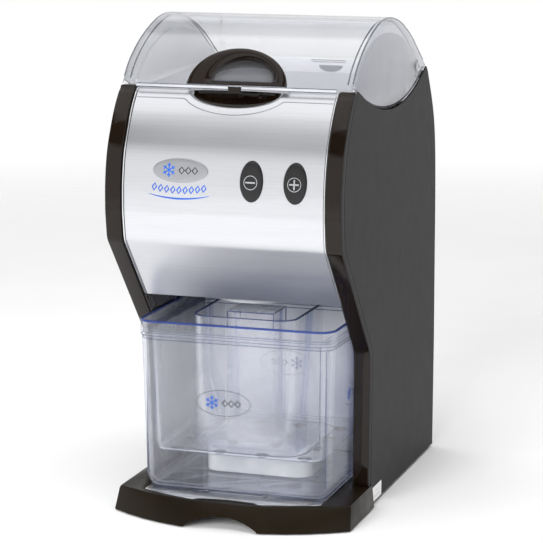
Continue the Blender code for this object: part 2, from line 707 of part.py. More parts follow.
# ---------------------------------------------------------------- hopper and hinge trough
def make_hopper():
    rim, lip, throat = 0.3910, 0.3740, 0.3212
    inside = CLEAR_WALL
    front, deck = -0.1110, -0.1270
    outer = [ring_at(0.0715, -0.1065, -0.0195, throat, 0.004, 3),
             ring_at(0.1040, front + 0.0005, 0.0740, lip, 0.006, 3),
             ring_at(0.1040, front, 0.0848, rim - 0.0020, 0.006, 3),
             ring_at(0.1040, deck, 0.0860, rim - 0.0018, 0.006, 3),
             ring_at(0.1040, deck, 0.0860, rim, 0.006, 3)]
    inner = [ring_at(0.1040 - inside, front + inside, 0.0860 - inside, rim, 0.004, 3),
             ring_at(0.1040 - inside, front + inside, 0.0715, lip + 0.001, 0.004, 3),
             ring_at(0.0690, -0.1040, -0.0220, throat, 0.003, 3)]
    hopper = loft("hopper", outer + inner, "hopper_grey", tube=True)
    arch = smooth([(-0.1080, 0.3985), (-0.0770, 0.4215), (-0.0300, 0.4365), (0.0160, 0.4370),
                   (0.0590, 0.4285), (0.0940, 0.4118)], 4)
    knuckle = arc(PIVOT, 0.0125, 80, -90, 8)
    outline = arch + knuckle + [(0.0800, 0.3850), (-0.1080, 0.3850)]
    for sign in (-1, 1):
        low, high = sorted((sign * 0.1020, sign * 0.1040))
        bore = circle(PIVOT, 0.0028, 12)
        cheek = slab_x(f"join_cheek_{sign}", outline, low, high, None, [bore])
        join(hopper, cheek)
    for sign in (-1, 1):
        low, high = sorted((sign * (PILLAR_INNER - GAP), sign * 0.12))
        cut(hopper, box(f"cut_hopper_corner_{sign}", (low, -0.15, 0.38), (high, -0.1165, 0.3915),
                        None))
    cut(hopper, ball("cut_hopper_dish", finger_centre(), (0.0459, 0.0154, 0.0179), None, 28, 14))
    trough = arc(PIVOT, TROUGH_RADIUS, -92, -24, 8)
    profile = [(0.0885, 0.3660), *trough, (0.1345, 0.3842)]
    sheet("hinge_trough", profile, 0.1035, 0.0012, "hopper_grey")


# ---------------------------------------------------------------- crusher
def make_crusher():
    wall = 0.004
    top = 0.3205
    outer = arc(ROTOR, CHAMBER_RADIUS + wall, 0, -180, 20)
    outline = outer + [(outer[-1][0], top), (outer[0][0], top)]
    half = CHAMBER_HALF + wall
    chamber = slab_x("crusher_housing", outline, -half, half, "cast_alloy")
    inner = arc(ROTOR, CHAMBER_RADIUS, 0, -180, 20)
    room = slab_x("cut_chamber", inner + [(inner[-1][0], 0.34), (inner[0][0], 0.34)],
                  -CHAMBER_HALF, CHAMBER_HALF, None)
    drop = rod("cut_outlet", OUTLET_RADIUS - 0.009, (0, OUTLET_Y, 0.20), (0, OUTLET_Y, 0.266),
               None, 28)
    shaft_hole = rod("cut_shaft", SHAFT_RADIUS + GAP, (-0.2, *ROTOR), (0.2, *ROTOR), None, 20)
    cut(chamber, room, drop, shaft_hole)
    make_comb()
    collar("outlet_chute", OUTLET_RADIUS - 0.0025, OUTLET_RADIUS, 0.1965, 0.2560,
           (0, OUTLET_Y, 0), AXIS_Z, "white_plastic", 28)
    chute = bpy.data.objects["outlet_chute"]
    cut(chute, rod("cut_chute_top", CHAMBER_RADIUS + wall + GAP, (-0.1, *ROTOR), (0.1, *ROTOR),
                   None, 40))
    make_rotor()


def make_comb():
    """A bar on the chamber's back wall whose fingers pass between the knives."""
    back = ROTOR[0] + CHAMBER_RADIUS - GAP
    bar_front = ROTOR[0] + KNIFE_RADIUS + 0.0008
    finger_end = ROTOR[0] + 0.0145
    half = CHAMBER_HALF - GAP
    outline = [(-half, back), (-half, bar_front)]
    for index in range(KNIFE_COUNT - 1):
        x = (index - (KNIFE_COUNT - 2) / 2) * KNIFE_PITCH
        outline += [(x - 0.003, bar_front), (x - 0.002, finger_end),
                    (x + 0.002, finger_end), (x + 0.003, bar_front)]
    outline += [(half, bar_front), (half, back)]
    slab_z("crusher_comb", outline, ROTOR[1] - 0.001, ROTOR[1] + 0.006, "steel")


def make_rotor():
    pieces = [rod("rotor_shaft", SHAFT_RADIUS, (-0.084, *ROTOR), (0.0995, *ROTOR), "steel", 20)]
    for index in range(KNIFE_COUNT):
        x = (index - (KNIFE_COUNT - 1) / 2) * KNIFE_PITCH
        turn = math.radians(30 * index)
        outline = []
        for tip in range(4):
            start = turn + tip * math.pi / 2
            for radius, angle in ((0.013, -0.55), (KNIFE_RADIUS, -0.10), (KNIFE_RADIUS, 0.12),
                                  (0.020, 0.30)):
                outline.append((ROTOR[0] + radius * math.cos(start + angle),
                                ROTOR[1] + radius * math.sin(start + angle)))
        bore = circle(ROTOR, SHAFT_RADIUS + GAP, 20)
        pieces.append(slab_x(f"knife_{index + 1}", outline, x - 0.002, x + 0.002, "steel", [bore]))
    pieces.append(make_pulley("driven_pulley", ROTOR, DRIVEN_RADIUS, SHAFT_RADIUS, 40))
    joint_frame("rotor_axis", (0, *ROTOR), pieces)
    for side, sign in (("left", -1), ("right", 1)):
        low, high = sorted((sign * 0.0723, sign * 0.0803))
        collar(f"rotor_bearing_{side}", SHAFT_RADIUS + GAP, 0.014, low, high, (0, *ROTOR),
               AXIS_X, "steel", 20)


def make_pulley(name, axis, radius, shaft, steps):
    """A flanged belt pulley."""
    half = BELT_WIDTH / 2 + GAP
    edge = half + 0.0012
    rim = radius + 0.0020
    bore = shaft + GAP
    profile = [(rim, edge), (rim, half), (radius, half), (radius, -half), (rim, -half),
               (rim, -edge), (bore, -edge), (bore, edge)]
    return turned(name, profile, (PULLEY_X, *axis), AXIS_X, "cast_alloy", steps, ring=True)


def belt_loop(grow):
    """A belt path round both pulleys (Y, Z), at a distance outside their rims."""
    big, small = DRIVEN_RADIUS + grow, DRIVER_RADIUS + grow
    line = Vector(MOTOR) - Vector(ROTOR)
    heading = math.degrees(math.atan2(line.y, line.x))
    lean = math.degrees(math.acos((big - small) / line.length))
    return (arc(ROTOR, big, heading + lean, heading + 360 - lean, 24)
            + arc(MOTOR, small, heading - lean, heading + lean, 8))


def make_motor():
    shaft = rod("motor_shaft", MOTOR_SHAFT_RADIUS, (-0.084, *MOTOR), (0.0995, *MOTOR), "steel", 16)
    pulley = make_pulley("motor_pulley", MOTOR, DRIVER_RADIUS, MOTOR_SHAFT_RADIUS, 20)
    blades = []
    for index in range(6):
        a = index * math.pi / 3
        for radius, angle in ((0.010, -0.30), (0.034, -0.22), (0.034, 0.22), (0.010, 0.30)):
            blades.append((MOTOR[0] + radius * math.cos(a + angle),
                           MOTOR[1] + radius * math.sin(a + angle)))
    bore = circle(MOTOR, MOTOR_SHAFT_RADIUS + GAP, 16)
    fan = slab_x("motor_fan", blades, -0.080, -0.070, "dark_plastic", [bore])
    joint_frame("motor_axis", (0, *MOTOR), [shaft, pulley, fan])
    can = MOTOR_SHAFT_RADIUS + GAP
    profile = [(0.016, 0.068), (0.016, 0.060), (0.040, 0.058), (0.044, 0.050), (0.044, -0.050),
               (0.040, -0.058), (0.016, -0.060), (0.016, -0.066), (can, -0.066), (can, 0.068)]
    turned("motor", profile, (0, *MOTOR), AXIS_X, "motor_paint", 32, ring=True)
    inner = belt_loop(GAP)
    outer = belt_loop(GAP + BELT_THICKNESS)
    slab_x("drive_belt", outer, PULLEY_X - BELT_WIDTH / 2, PULLEY_X + BELT_WIDTH / 2, "rubber",
           [inner])
    shelf = box("motor_shelf", (-0.100, BAY_BACK + 0.0045, 0.2035), (0.100, 0.166, 0.2065), "steel")
    for sign in (-1, 1):
        saddle = box(f"join_saddle_{sign}", (sign * 0.034 - 0.008, 0.078, 0.2050),
                     (sign * 0.034 + 0.008, 0.146, 0.2280), None)
        join(shelf, saddle)
    cut(shelf, rod("cut_saddle", 0.0443, (-0.07, *MOTOR), (0.07, *MOTOR), None, 48))


def make_electrics():
    rod("capacitor", 0.0175, (-0.060, 0.115, 0.0103), (-0.060, 0.115, 0.078), "component_grey", 24)
    box("control_board", (-0.070, 0.0590, 0.095), (0.070, 0.0606, 0.180), "board_green")
    box("relay", (-0.052, 0.0609, 0.125), (-0.024, 0.0780, 0.150), "component_grey", 0.0008)
    box("terminal_block", (0.000, 0.0609, 0.105), (0.050, 0.0740, 0.122), "white_plastic", 0.0008)
    plunger = rod("join_plunger", 0.0012, (0.1040, 0.040, 0.3650), (0.1040, 0.040, 0.3695),
                  None, 10)
    switch = box("lid_switch", (0.1008, 0.030, 0.3555), (0.1072, 0.050, 0.3665), "dark_plastic")
    join(switch, plunger)


# ---------------------------------------------------------------- tub, basket and scoop
def make_tub():
    """A tapered clear tub with a wider band along its top."""
    wall = CLEAR_WALL

    def ring(half, front_inset, back_inset, z, radius):
        return ring_at(half, TUB_FRONT + front_inset, TUB_BACK - back_inset, z, radius)
    rings = [ring(TUB_FOOT - 0.004, 0.010, 0.009, TUB_FLOOR, 0.010),
             ring(TUB_FOOT, 0.006, 0.005, TUB_FLOOR + 0.004, 0.013),
             ring(TUB_NECK, 0.0035, 0.0025, TUB_BAND, 0.013),
             ring(TUB_HALF, 0, 0, TUB_BAND + 0.001, 0.016),
             ring(TUB_HALF, 0, 0, TUB_RIM, 0.016),
             ring(TUB_HALF - wall, wall, wall, TUB_RIM, 0.014),
             ring(TUB_HALF - wall, wall, wall, TUB_BAND + 0.003, 0.014),
             ring(TUB_NECK - wall, 0.0035 + wall, 0.0025 + wall, TUB_BAND + 0.002, 0.011),
             ring(TUB_FOOT - wall, 0.006 + wall, 0.005 + wall, TUB_FLOOR + 0.006, 0.011),
             ring(TUB_FOOT - 0.004 - wall, 0.010 + wall, 0.009 + wall, TUB_FLOOR + wall, 0.008)]
    return loft("tub", rings, "clear_tub")


def make_basket():
    """A perforated inner basket on a rounded skirt, with its rim on the tub's shoulder."""
    wall = BASKET_WALL
    low, shoulder = BASKET_FLOOR - wall, TUB_BAND + 0.0023

    def ring(half, front_inset, back_inset, z, radius):
        return ring_at(half, TUB_FRONT + front_inset, TUB_BACK - back_inset, z, radius)
    foot_inset = BASKET_FOOT - 0.0077
    rings = [ring(foot_inset, 0.0175, 0.0165, low, 0.010),
             ring(BASKET_FOOT, 0.0100, 0.0090, low + 0.009, 0.010),
             ring(BASKET_NECK, 0.0075, 0.0065, shoulder + 0.0012, 0.010),
             ring(BASKET_HALF, 0.0033, 0.0033, shoulder + 0.0014, 0.0125),
             ring(BASKET_HALF, 0.0033, 0.0033, shoulder + 0.003, 0.0125),
             ring(BASKET_NECK - wall, 0.0075 + wall, 0.0065 + wall, shoulder + 0.003, 0.0085),
             ring(BASKET_FOOT - wall, 0.0100 + wall, 0.0090 + wall, low + 0.010, 0.0085),
             ring(foot_inset - wall, 0.0175 + wall, 0.0165 + wall, BASKET_FLOOR, 0.0085)]
    basket = loft("strainer_basket", rings, "clear_tub")
    return join(cut(basket, make_basket_holes()), make_basket_skirt())


def make_basket_holes():
    """Four rows of four drain holes."""
    bm = bmesh.new()
    for row in range(4):
        for column in (-1.5, -0.5, 0.5, 1.5):
            made = bmesh.ops.create_cone(bm, cap_ends=True, segments=10, radius1=BASKET_HOLE,
                                         radius2=BASKET_HOLE, depth=0.01)
            bmesh.ops.translate(bm, vec=(column * 0.041, -0.1148 + row * 0.0395, BASKET_FLOOR),
                                verts=made["verts"])
    return place("cut_basket_holes", finish_mesh("cut_basket_holes", bm), Matrix.Identity(4), None)


def make_basket_skirt():
    """The rounded pedestal below the basket's floor."""
    half, front, back = SKIRT
    corner, wall = 0.015, BASKET_WALL
    low, high = TUB_FLOOR + CLEAR_WALL + GAP, BASKET_FLOOR - wall / 2
    inner = (half - wall, front + wall, back - wall)
    return loft("join_basket_skirt", [
        ring_at(half, front, back, low, corner), ring_at(half, front, back, high, corner),
        ring_at(*inner, high, corner - wall), ring_at(*inner, low, corner - wall)],
        None, tube=True)


def scoop_outline(inset):
    """The scoop's plan, open at its back: square back corners and rounded front ones."""
    half, front, back = SCOOP
    corner = 0.018
    return [(-half + inset, back - inset, 0), (-half + inset, front + inset, corner),
            (half - inset, front + inset, corner), (half - inset, back - inset, 0)]


def make_scoop():
    """A clear scoop that stands in the basket: a U of walls round a hollow box grip."""
    low = BASKET_FLOOR + GAP
    half, front, back = SCOOP
    wall = CLEAR_WALL
    inner_corner = 0.016
    outer = rounded(scoop_outline(0), 5)
    inner = rounded([(half - wall, back, 0), (half - wall, front + wall, inner_corner),
                     (-half + wall, front + wall, inner_corner), (-half + wall, back, 0)], 5)
    scoop = slab_z("ice_scoop", outer + inner, low, SCOOP_TOP, "clear_tub")
    floor = slab_z("join_scoop_floor", rounded(scoop_outline(0.0004), 5), low + 0.0001, low + wall,
                   None)
    grip_half, grip_front, grip_back = GRIP
    grip = box("join_scoop_grip", (-grip_half, grip_front, low + 0.0002),
               (grip_half, grip_back, GRIP_TOP), None)
    hollow = box("cut_scoop_grip", (wall - grip_half, grip_front + wall, low - 0.005),
                 (grip_half - wall, grip_back - wall, GRIP_TOP - wall), None)
    join(scoop, floor, grip)
    cut(scoop, hollow)
    return scoop


# ---------------------------------------------------------------- assembly
def build():
    make_base()
    make_grid()
    make_pillars()
    make_skins()
    make_front_panel()
    make_buttons()
    make_rear_cover()
    make_bay()
    make_lid()
    make_hopper()
    make_crusher()
    make_motor()
    make_electrics()
    joint_frame("tub_slide", (0, -0.045, TUB_FLOOR), [make_tub(), make_basket()])
    joint_frame("scoop_lift", (0, -0.069, BASKET_FLOOR), [make_scoop()])


build()
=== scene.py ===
import json
import math

import bmesh
import bpy
from mathutils import Matrix, Vector
from mathutils.bvhtree import BVHTree


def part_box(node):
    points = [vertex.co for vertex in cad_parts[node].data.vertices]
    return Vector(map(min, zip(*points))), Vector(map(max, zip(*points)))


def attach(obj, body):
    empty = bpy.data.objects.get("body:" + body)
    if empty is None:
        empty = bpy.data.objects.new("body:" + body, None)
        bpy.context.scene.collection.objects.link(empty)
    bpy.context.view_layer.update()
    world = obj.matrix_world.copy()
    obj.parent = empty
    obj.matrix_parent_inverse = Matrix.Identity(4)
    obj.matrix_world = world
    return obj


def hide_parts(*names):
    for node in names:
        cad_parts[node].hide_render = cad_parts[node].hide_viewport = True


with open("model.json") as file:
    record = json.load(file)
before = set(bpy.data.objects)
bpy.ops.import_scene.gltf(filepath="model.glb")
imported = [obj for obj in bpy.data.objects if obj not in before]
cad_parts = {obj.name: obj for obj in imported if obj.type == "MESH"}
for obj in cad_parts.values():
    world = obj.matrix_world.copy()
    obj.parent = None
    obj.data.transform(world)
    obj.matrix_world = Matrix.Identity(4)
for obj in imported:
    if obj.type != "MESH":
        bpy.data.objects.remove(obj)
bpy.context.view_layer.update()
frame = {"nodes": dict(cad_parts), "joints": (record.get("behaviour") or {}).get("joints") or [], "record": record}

NODES = frame["nodes"]

# ---- places worked out from the frame
PANEL_LOW, PANEL_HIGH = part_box("front_panel")
PILLARS = {"left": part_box("front_pillar_left"), "right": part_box("front_pillar_right")}
BUTTONS = {name: sum(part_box(name), Vector()) / 2 for name in ("button_minus", "button_plus")}
LID_LOW, LID_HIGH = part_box("lid")
LID_PIVOT = Vector(next(j for j in frame["joints"] if j["name"] == "lid_hinge")["pos_m"])
HANDLE_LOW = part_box("lid_handle")[0]
TUB_LOW, TUB_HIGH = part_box("tub")
BASKET_LOW, BASKET_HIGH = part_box("strainer_basket")
SCOOP_LOW, SCOOP_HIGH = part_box("ice_scoop")
HOPPER_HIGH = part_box("hopper")[1]
SKIN_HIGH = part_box("side_panel_right")[1]

# ---- sizes of the finer shapes
# The gap that touching pieces keep, and the distance at which points are one
GAP, WELD = 0.0003, 0.00001
# The machine's two sides and their direction along X
SIDES = (("left", -1), ("right", 1))
# The lid's handle: half width and height, its dish's shift to the right, its slope and the
# middle of its straight lower edge
HANDLE_HALF = (0.047, 0.0375)
DISH_SHIFT = 0.006
HANDLE_UP = Vector((0, 0.018, 0.033)).normalized()
HANDLE_FOOT = HANDLE_LOW * Vector((0, 1, 1)) + Vector((0, 0.0012, 0.0012))
# Half width and height of a button and of the finger recess, and the recess's rolled edge
BUTTON_HALF = (0.01035, 0.01775)
CRESCENT = (0.0425, 0.0135)
LIP_OUT, LIP_ROLL = 0.0016, 0.0036
# Height of a button's face above the panel, from its middle (0) to its edge (1)
BUTTON_RISE = ((0.0, 0.0032), (0.35, 0.0032), (0.7, 0.0029), (0.88, 0.0025), (0.96, 0.002),
               (1.0, 0.0012))
# Where the badge and the row of crystals are on the panel (X, Z), and the badge's half size
BADGE_AT, BADGE_HALF = (-0.0398, 0.3244), (0.0253, 0.0103)
CRYSTALS_AT, SWOOSH_HALF = (-0.0406, 0.3064), 0.0285
# The scoop's box grip: half width, front and back
GRIP_HALF, GRIP_FRONT, GRIP_BACK = 0.0225, -0.088, -0.05
# The camera: its place, its right, up and back directions, and its lens
CAMERA_PLACE = (0.64566, -2.03369, 0.59758)
CAMERA_AXES = (Vector((0.95184261, 0.30656697, 0.00351327)),
               Vector((-0.05845742, 0.17022829, 0.98366918)),
               Vector((0.30096242, -0.93650362, 0.17995165)))
LENS_MM, SENSOR_MM = 150.18, 36.0
# Brightness of the studio by the height of a direction: floor, walls, a dark gap, ceiling
STUDIO = ((-1.0, 1.0), (-0.02, 1.0), (0.02, 1.0), (0.5, 1.0), (0.57, 0.14), (0.72, 0.14),
          (0.78, 0.6), (1.0, 0.6))


# ---- node helpers
# Every material by its name
LOOKS = {}


def new_material(name):
    """A material, kept in LOOKS by its name: its node tree and its shader."""
    material = bpy.data.materials.new(name)
    material.use_nodes = True
    LOOKS[name] = material
    return material.node_tree, material.node_tree.nodes["Principled BSDF"]


def fill_in(tree, node, values):
    """Links or sets a node's sockets."""
    for key, value in values.items():
        socket = node.inputs[key]
        if isinstance(value, bpy.types.NodeSocket):
            tree.links.new(value, socket)
        else:
            socket.default_value = value


def add(tree, kind, inputs=None, **settings):
    """A new shader node of a kind, with its settings and inputs."""
    node = tree.nodes.new("ShaderNode" + kind)
    for key, value in settings.items():
        setattr(node, key, value)
    fill_in(tree, node, inputs or {})
    return node


def join_in(tree, shader, **sockets):
    """Links or sets the Principled sockets, named with underscores for spaces."""
    fill_in(tree, shader, {key.replace("_", " "): value for key, value in sockets.items()})


def maths(tree, operation, *values, clamp=False):
    node = add(tree, "Math", dict(enumerate(values)), operation=operation,
               use_clamp=clamp)
    return node.outputs[0]


def vector_maths(tree, operation, *values):
    return add(tree, "VectorMath", dict(enumerate(values)), operation=operation)


def space(tree, scale=(1, 1, 1)):
    """Object coordinates, which are the row frame's metres, stretched by a scale."""
    coords = add(tree, "TexCoord").outputs["Object"]
    return add(tree, "Mapping", {"Vector": coords, "Scale": scale}).outputs["Vector"]


def noise(tree, scale, stretch=(1, 1, 1), detail=3.0, rough=0.55):
    node = add(tree, "TexNoise", {"Vector": space(tree, stretch), "Scale": scale,
                                            "Detail": detail, "Roughness": rough})
    return node.outputs["Fac"]


def bands(tree, factor, stops, blend="EASE"):
    """Colours at several places of a factor, blended between them."""
    node = add(tree, "ValToRGB", {"Fac": factor})
    node.color_ramp.interpolation = blend
    elements = node.color_ramp.elements
    while len(elements) < len(stops):
        elements.new(0.5)
    for element, (place, colour) in zip(elements, stops):
        element.position = place
        element.color = (*colour, 1.0)
    return node.outputs["Color"]


def ramp(tree, factor, low, high):
    """Two colours across the middle of a noise."""
    return bands(tree, factor, [(0.35, low), (0.65, high)], "LINEAR")


def varied(tree, factor, colour, spread):
    """A colour that a noise makes darker and paler by a share."""
    return ramp(tree, factor, shade(colour, 1 - spread), shade(colour, 1 + spread))


def span(tree, factor, low, high, start=0.3, end=0.7):
    """Two numbers across a range of a factor."""
    node = add(tree, "MapRange", {"Value": factor, "From Min": start, "From Max": end,
                                            "To Min": low, "To Max": high})
    return node.outputs["Result"]


def around(tree, factor, middle, spread):
    """A number that a noise makes smaller and larger by a share."""
    return span(tree, factor, middle * (1 - spread), middle * (1 + spread))


def bumped(tree, height, strength, distance=0.0002, **normal):
    """A bump's normal, on top of another if Normal is given."""
    inputs = {"Height": height, "Strength": strength, "Distance": distance, **normal}
    return add(tree, "Bump", inputs).outputs["Normal"]


def mixed(tree, factor, first, second):
    """A mix of two shader nodes."""
    return add(tree, "MixShader", {0: factor, 1: first.outputs[0], 2: second.outputs[0]})


def show(tree, shader, output="Material Output"):
    tree.links.new(shader.outputs[0], tree.nodes[output].inputs["Surface"])


def shade(colour, factor):
    return tuple(min(1.0, c * factor) for c in colour)


# ---- materials
def moulded(name, colour, gloss, grain=900.0, depth=0.25, spread=0.18, wave=0.0, ior=1.45,
            clouds=0.15):
    """Moulded plastic: a fine grain, slow sink marks and small changes of colour and gloss."""
    tree, shader = new_material(name)
    tint = varied(tree, noise(tree, 14.0, detail=2.0), colour, spread)
    normal = bumped(tree, noise(tree, grain, detail=2.0), depth, 0.00006)
    if wave:
        normal = bumped(tree, noise(tree, 45.0, detail=1.0), wave, 0.0004, Normal=normal)
    join_in(tree, shader, Base_Color=tint, Normal=normal, IOR=ior,
            Roughness=around(tree, noise(tree, 60.0), gloss, clouds))


def brushed(name, colour, gloss, along=(3, 500, 500), depth=0.1, streak=0.05):
    """Metal with fine lines along one axis."""
    tree, shader = new_material(name)
    lines = noise(tree, 4.0, along, detail=6.0, rough=0.7)
    join_in(tree, shader, Base_Color=varied(tree, lines, colour, streak), Metallic=1.0,
            Roughness=around(tree, noise(tree, 9.0, detail=2.0), gloss, 0.08),
            Normal=bumped(tree, lines, depth, 0.00002))


def cast_metal(name, colour, gloss):
    """Rough cast metal with small pits."""
    tree, shader = new_material(name)
    pits = noise(tree, 420.0, detail=5.0)
    tint = ramp(tree, noise(tree, 35.0), shade(colour, 0.82), shade(colour, 1.08))
    join_in(tree, shader, Base_Color=tint, Metallic=1.0, Normal=bumped(tree, pits, 0.5),
            Roughness=around(tree, pits, gloss, 0.2))


def handle_black(name, black):
    """Glossy black.  The floor of the handle's dish is matt and carries a painted reflection: pale blue-grey
    bands, palest a quarter way up.
    """
    tree, shader = new_material(name)
    from_foot = vector_maths(tree, "SUBTRACT", space(tree), HANDLE_FOOT).outputs[0]
    rise = vector_maths(tree, "DOT_PRODUCT", from_foot, HANDLE_UP).outputs["Value"]
    across = add(tree, "SeparateXYZ", {"Vector": from_foot}).outputs["X"]
    half_u, half_v = HANDLE_HALF
    u = span(tree, across, -1.0, 1.0, 2 * DISH_SHIFT - half_u, half_u)
    v = maths(tree, "DIVIDE", rise, half_v)
    oval = add(tree, "CombineXYZ", {"X": u, "Y": v}).outputs[0]
    reach = vector_maths(tree, "LENGTH", oval).outputs["Value"]
    inside = span(tree, reach, 1.0, 0.0, 0.52, 0.8)
    above = span(tree, rise, 0.0, 1.0, 0.0026, 0.0056)
    floor = maths(tree, "MULTIPLY", inside, above)
    cloud = noise(tree, 60.0)
    drift = maths(tree, "MULTIPLY_ADD", cloud, 0.06, v)
    # painted reflection: pale blue-grey bands up the dish's floor stand in for the studio light that the floor
    # reflects
    painted_reflection = bands(tree, drift, [(0.08, (0.02, 0.02, 0.023)), (0.28, (0.088, 0.092, 0.106)),
                               (0.55, (0.052, 0.055, 0.064)), (0.8, (0.014, 0.014, 0.016))])
    plain = varied(tree, noise(tree, 14.0, detail=2.0), black, 0.18)
    tint = add(tree, "Mix", {"Factor": floor, "A": plain, "B": painted_reflection}, data_type="RGBA")
    rough = maths(tree, "MULTIPLY_ADD", floor, 0.16, span(tree, cloud, 0.08, 0.1))
    join_in(tree, shader, Base_Color=tint.outputs["Result"], Roughness=rough, IOR=1.38,
            Normal=bumped(tree, noise(tree, 1200.0), 0.03, 0.00006))


def circuit(name):
    """A green board with paler tracks."""
    tree, shader = new_material(name)
    tracks = add(tree, "TexBrick",
                 {"Vector": space(tree), "Scale": 90.0, "Mortar Size": 0.03,
                  "Color1": (0.015, 0.12, 0.045, 1), "Color2": (0.02, 0.145, 0.055, 1),
                  "Mortar": (0.09, 0.26, 0.1, 1)})
    join_in(tree, shader, Base_Color=tracks.outputs["Color"], Coat_Weight=0.4,
            Roughness=span(tree, noise(tree, 80.0), 0.3, 0.45),
            Normal=bumped(tree, tracks.outputs["Fac"], 0.3))


def clear(name, tints, hazes_and_streaks, haze_colour, shine=0.04, smooth=0.02, ripple=0.03, rim=0.8):
    """Clear plastic with no bending.  Its tint and its white haze change from where it faces
    the eye (0) to its outline (1), as thick rounded walls do; peaks of the haze between
    them are painted highlights, bright streaks for light that rounded walls bend.  A Fresnel
    shine lies on top."""
    tree, shader = new_material(name)
    tree.nodes.remove(shader)
    facing = add(tree, "LayerWeight", {"Blend": 0.5}).outputs["Facing"]
    see = add(tree, "BsdfTransparent", {"Color": bands(tree, facing, tints)})
    cloud = noise(tree, 30.0)
    milky = add(tree, "BsdfDiffuse", {"Color": varied(tree, cloud, haze_colour, 0.06)})
    # where these bands peak between facing and outline, the white haze paints bright streaks: painted highlights
    streak = bands(tree, facing, [(place, (value,) * 3) for place, value in hazes_and_streaks])
    amount = maths(tree, "MULTIPLY", streak, around(tree, cloud, 1.0, 0.12), clamp=True)
    fifth = maths(tree, "POWER", facing, 5.0)
    fresnel = maths(tree, "MULTIPLY_ADD", fifth, rim, shine, clamp=True)
    waves = bumped(tree, noise(tree, 40.0, detail=1.0), ripple, 0.0006)
    gloss = add(tree, "BsdfGlossy", {"Color": (1, 1, 1, 1), "Normal": waves,
                                               "Roughness": span(tree, cloud, smooth, smooth * 2)})
    show(tree, mixed(tree, fresnel, mixed(tree, amount, see, milky), gloss))


def two(facing, outline):
    """A tint or haze given only where a surface faces the eye and at its outline."""
    return [(0.0, facing), (1.0, outline)]


BLACK = (0.006, 0.003, 0.0014)
LID_TINTS = [(0.0, (0.975, 0.977, 0.982)), (0.6, (0.965, 0.968, 0.975)),
             (0.82, (0.93, 0.94, 0.96)), (0.94, (0.5, 0.51, 0.55)), (1.0, (0.14, 0.15, 0.18))]
DISC_TINTS = [(0.0, (0.95, 0.955, 0.965)), (0.75, (0.9, 0.905, 0.92)), (0.9, (0.45, 0.46, 0.5)),
              (1.0, (0.25, 0.26, 0.3))]
TUB_TINTS = [(0.0, (0.995, 0.995, 0.997)), (0.6, (0.978, 0.98, 0.987)),
             (0.82, (0.88, 0.89, 0.94)), (0.92, (0.5, 0.56, 0.74)), (0.97, (0.3, 0.38, 0.66)),
             (1.0, (0.62, 0.68, 0.84))]
# the tub's haze is a faint milkiness with peaks near 0.44 and 0.66 that paint bright streaks at its rounded
# corners: painted highlights
TUB_HAZES_AND_STREAKS = [(0.0, 0.027), (0.28, 0.04), (0.44, 0.22), (0.55, 0.09), (0.66, 0.1), (0.75, 0.03),
             (1.0, 0.03)]
SIDE_HAZES = [(0.0, 0.025), (0.55, 0.12), (0.7, 0.18), (1.0, 0.18)]
TUB_HAZE = (0.88, 0.9, 0.96)
BLUE_TINTS = two((0.22, 0.3, 0.72), (0.06, 0.11, 0.42))


def make_plastics():
    moulded("gloss_black", BLACK, 0.06, 1200.0, 0.02, wave=0.02, ior=1.4)
    moulded("base_black", (0.009, 0.0058, 0.0028), 0.36, 1500.0, 0.2, ior=1.24)
    moulded("skin_charcoal", (0.013, 0.0119, 0.0122), 0.52, 1500.0, 0.12, 0.04, ior=1.22,
            clouds=0.03)
    moulded("hopper_grey", (0.64, 0.645, 0.67), 0.34, 800.0, 0.08, 0.04)
    # hopper_shade: a darker copy of hopper_grey, used as painted shade on the hopper's sloping floor
    moulded("hopper_shade", (0.34, 0.345, 0.37), 0.34, 800.0, 0.08, 0.04)
    moulded("bay_white", (0.9, 0.91, 0.93), 0.32, 700.0, 0.1, 0.02)
    moulded("outlet_grey", (0.42, 0.43, 0.46), 0.34, 800.0, 0.08, 0.06)
    moulded("fill_grey", (0.24, 0.245, 0.27), 0.4, 900.0, 0.1, 0.05)
    moulded("white_plastic", (0.84, 0.85, 0.87), 0.32, 700.0, 0.1, 0.03)
    moulded("button_black", (0.012, 0.012, 0.013), 0.34, 1600.0, 0.2, ior=1.4)
    moulded("mark_grey", (0.3, 0.31, 0.32), 0.4, 1500.0, 0.1)
    moulded("ink_black", (0.018, 0.017, 0.018), 0.45, 1400.0, 0.1)
    moulded("ink_blue", (0.012, 0.085, 0.42), 0.4, 1400.0, 0.1)
    moulded("label_white", (0.82, 0.82, 0.81), 0.5, 900.0, 0.15, 0.03)
    # a black used only for the strips that paint the shadow gap under the lid's discs
    moulded("rubber", (0.022, 0.022, 0.022), 0.75, 700.0, 0.6)
    moulded("motor_paint", (0.1, 0.11, 0.13), 0.45, 500.0, 0.4)
    moulded("component_grey", (0.25, 0.26, 0.28), 0.48, 900.0, 0.3)
    moulded("dark_plastic", (0.02, 0.016, 0.014), 0.25, 900.0, 0.15, ior=1.4)
    handle_black("handle_black", BLACK)
    circuit("board_green")


def make_metals():
    brushed("brushed_silver", (0.72, 0.73, 0.76), 0.33)
    brushed("trim_silver", (0.86, 0.87, 0.89), 0.16, (900, 900, 6), 0.03, 0.02)
    brushed("stainless", (0.68, 0.68, 0.69), 0.26, (500, 4, 500), 0.08)
    brushed("badge_silver", (0.48, 0.49, 0.52), 0.4, (300, 300, 300), 0.05)
    brushed("steel", (0.56, 0.56, 0.57), 0.3, (500, 500, 20), 0.15)
    cast_metal("cast_alloy", (0.55, 0.56, 0.58), 0.42)


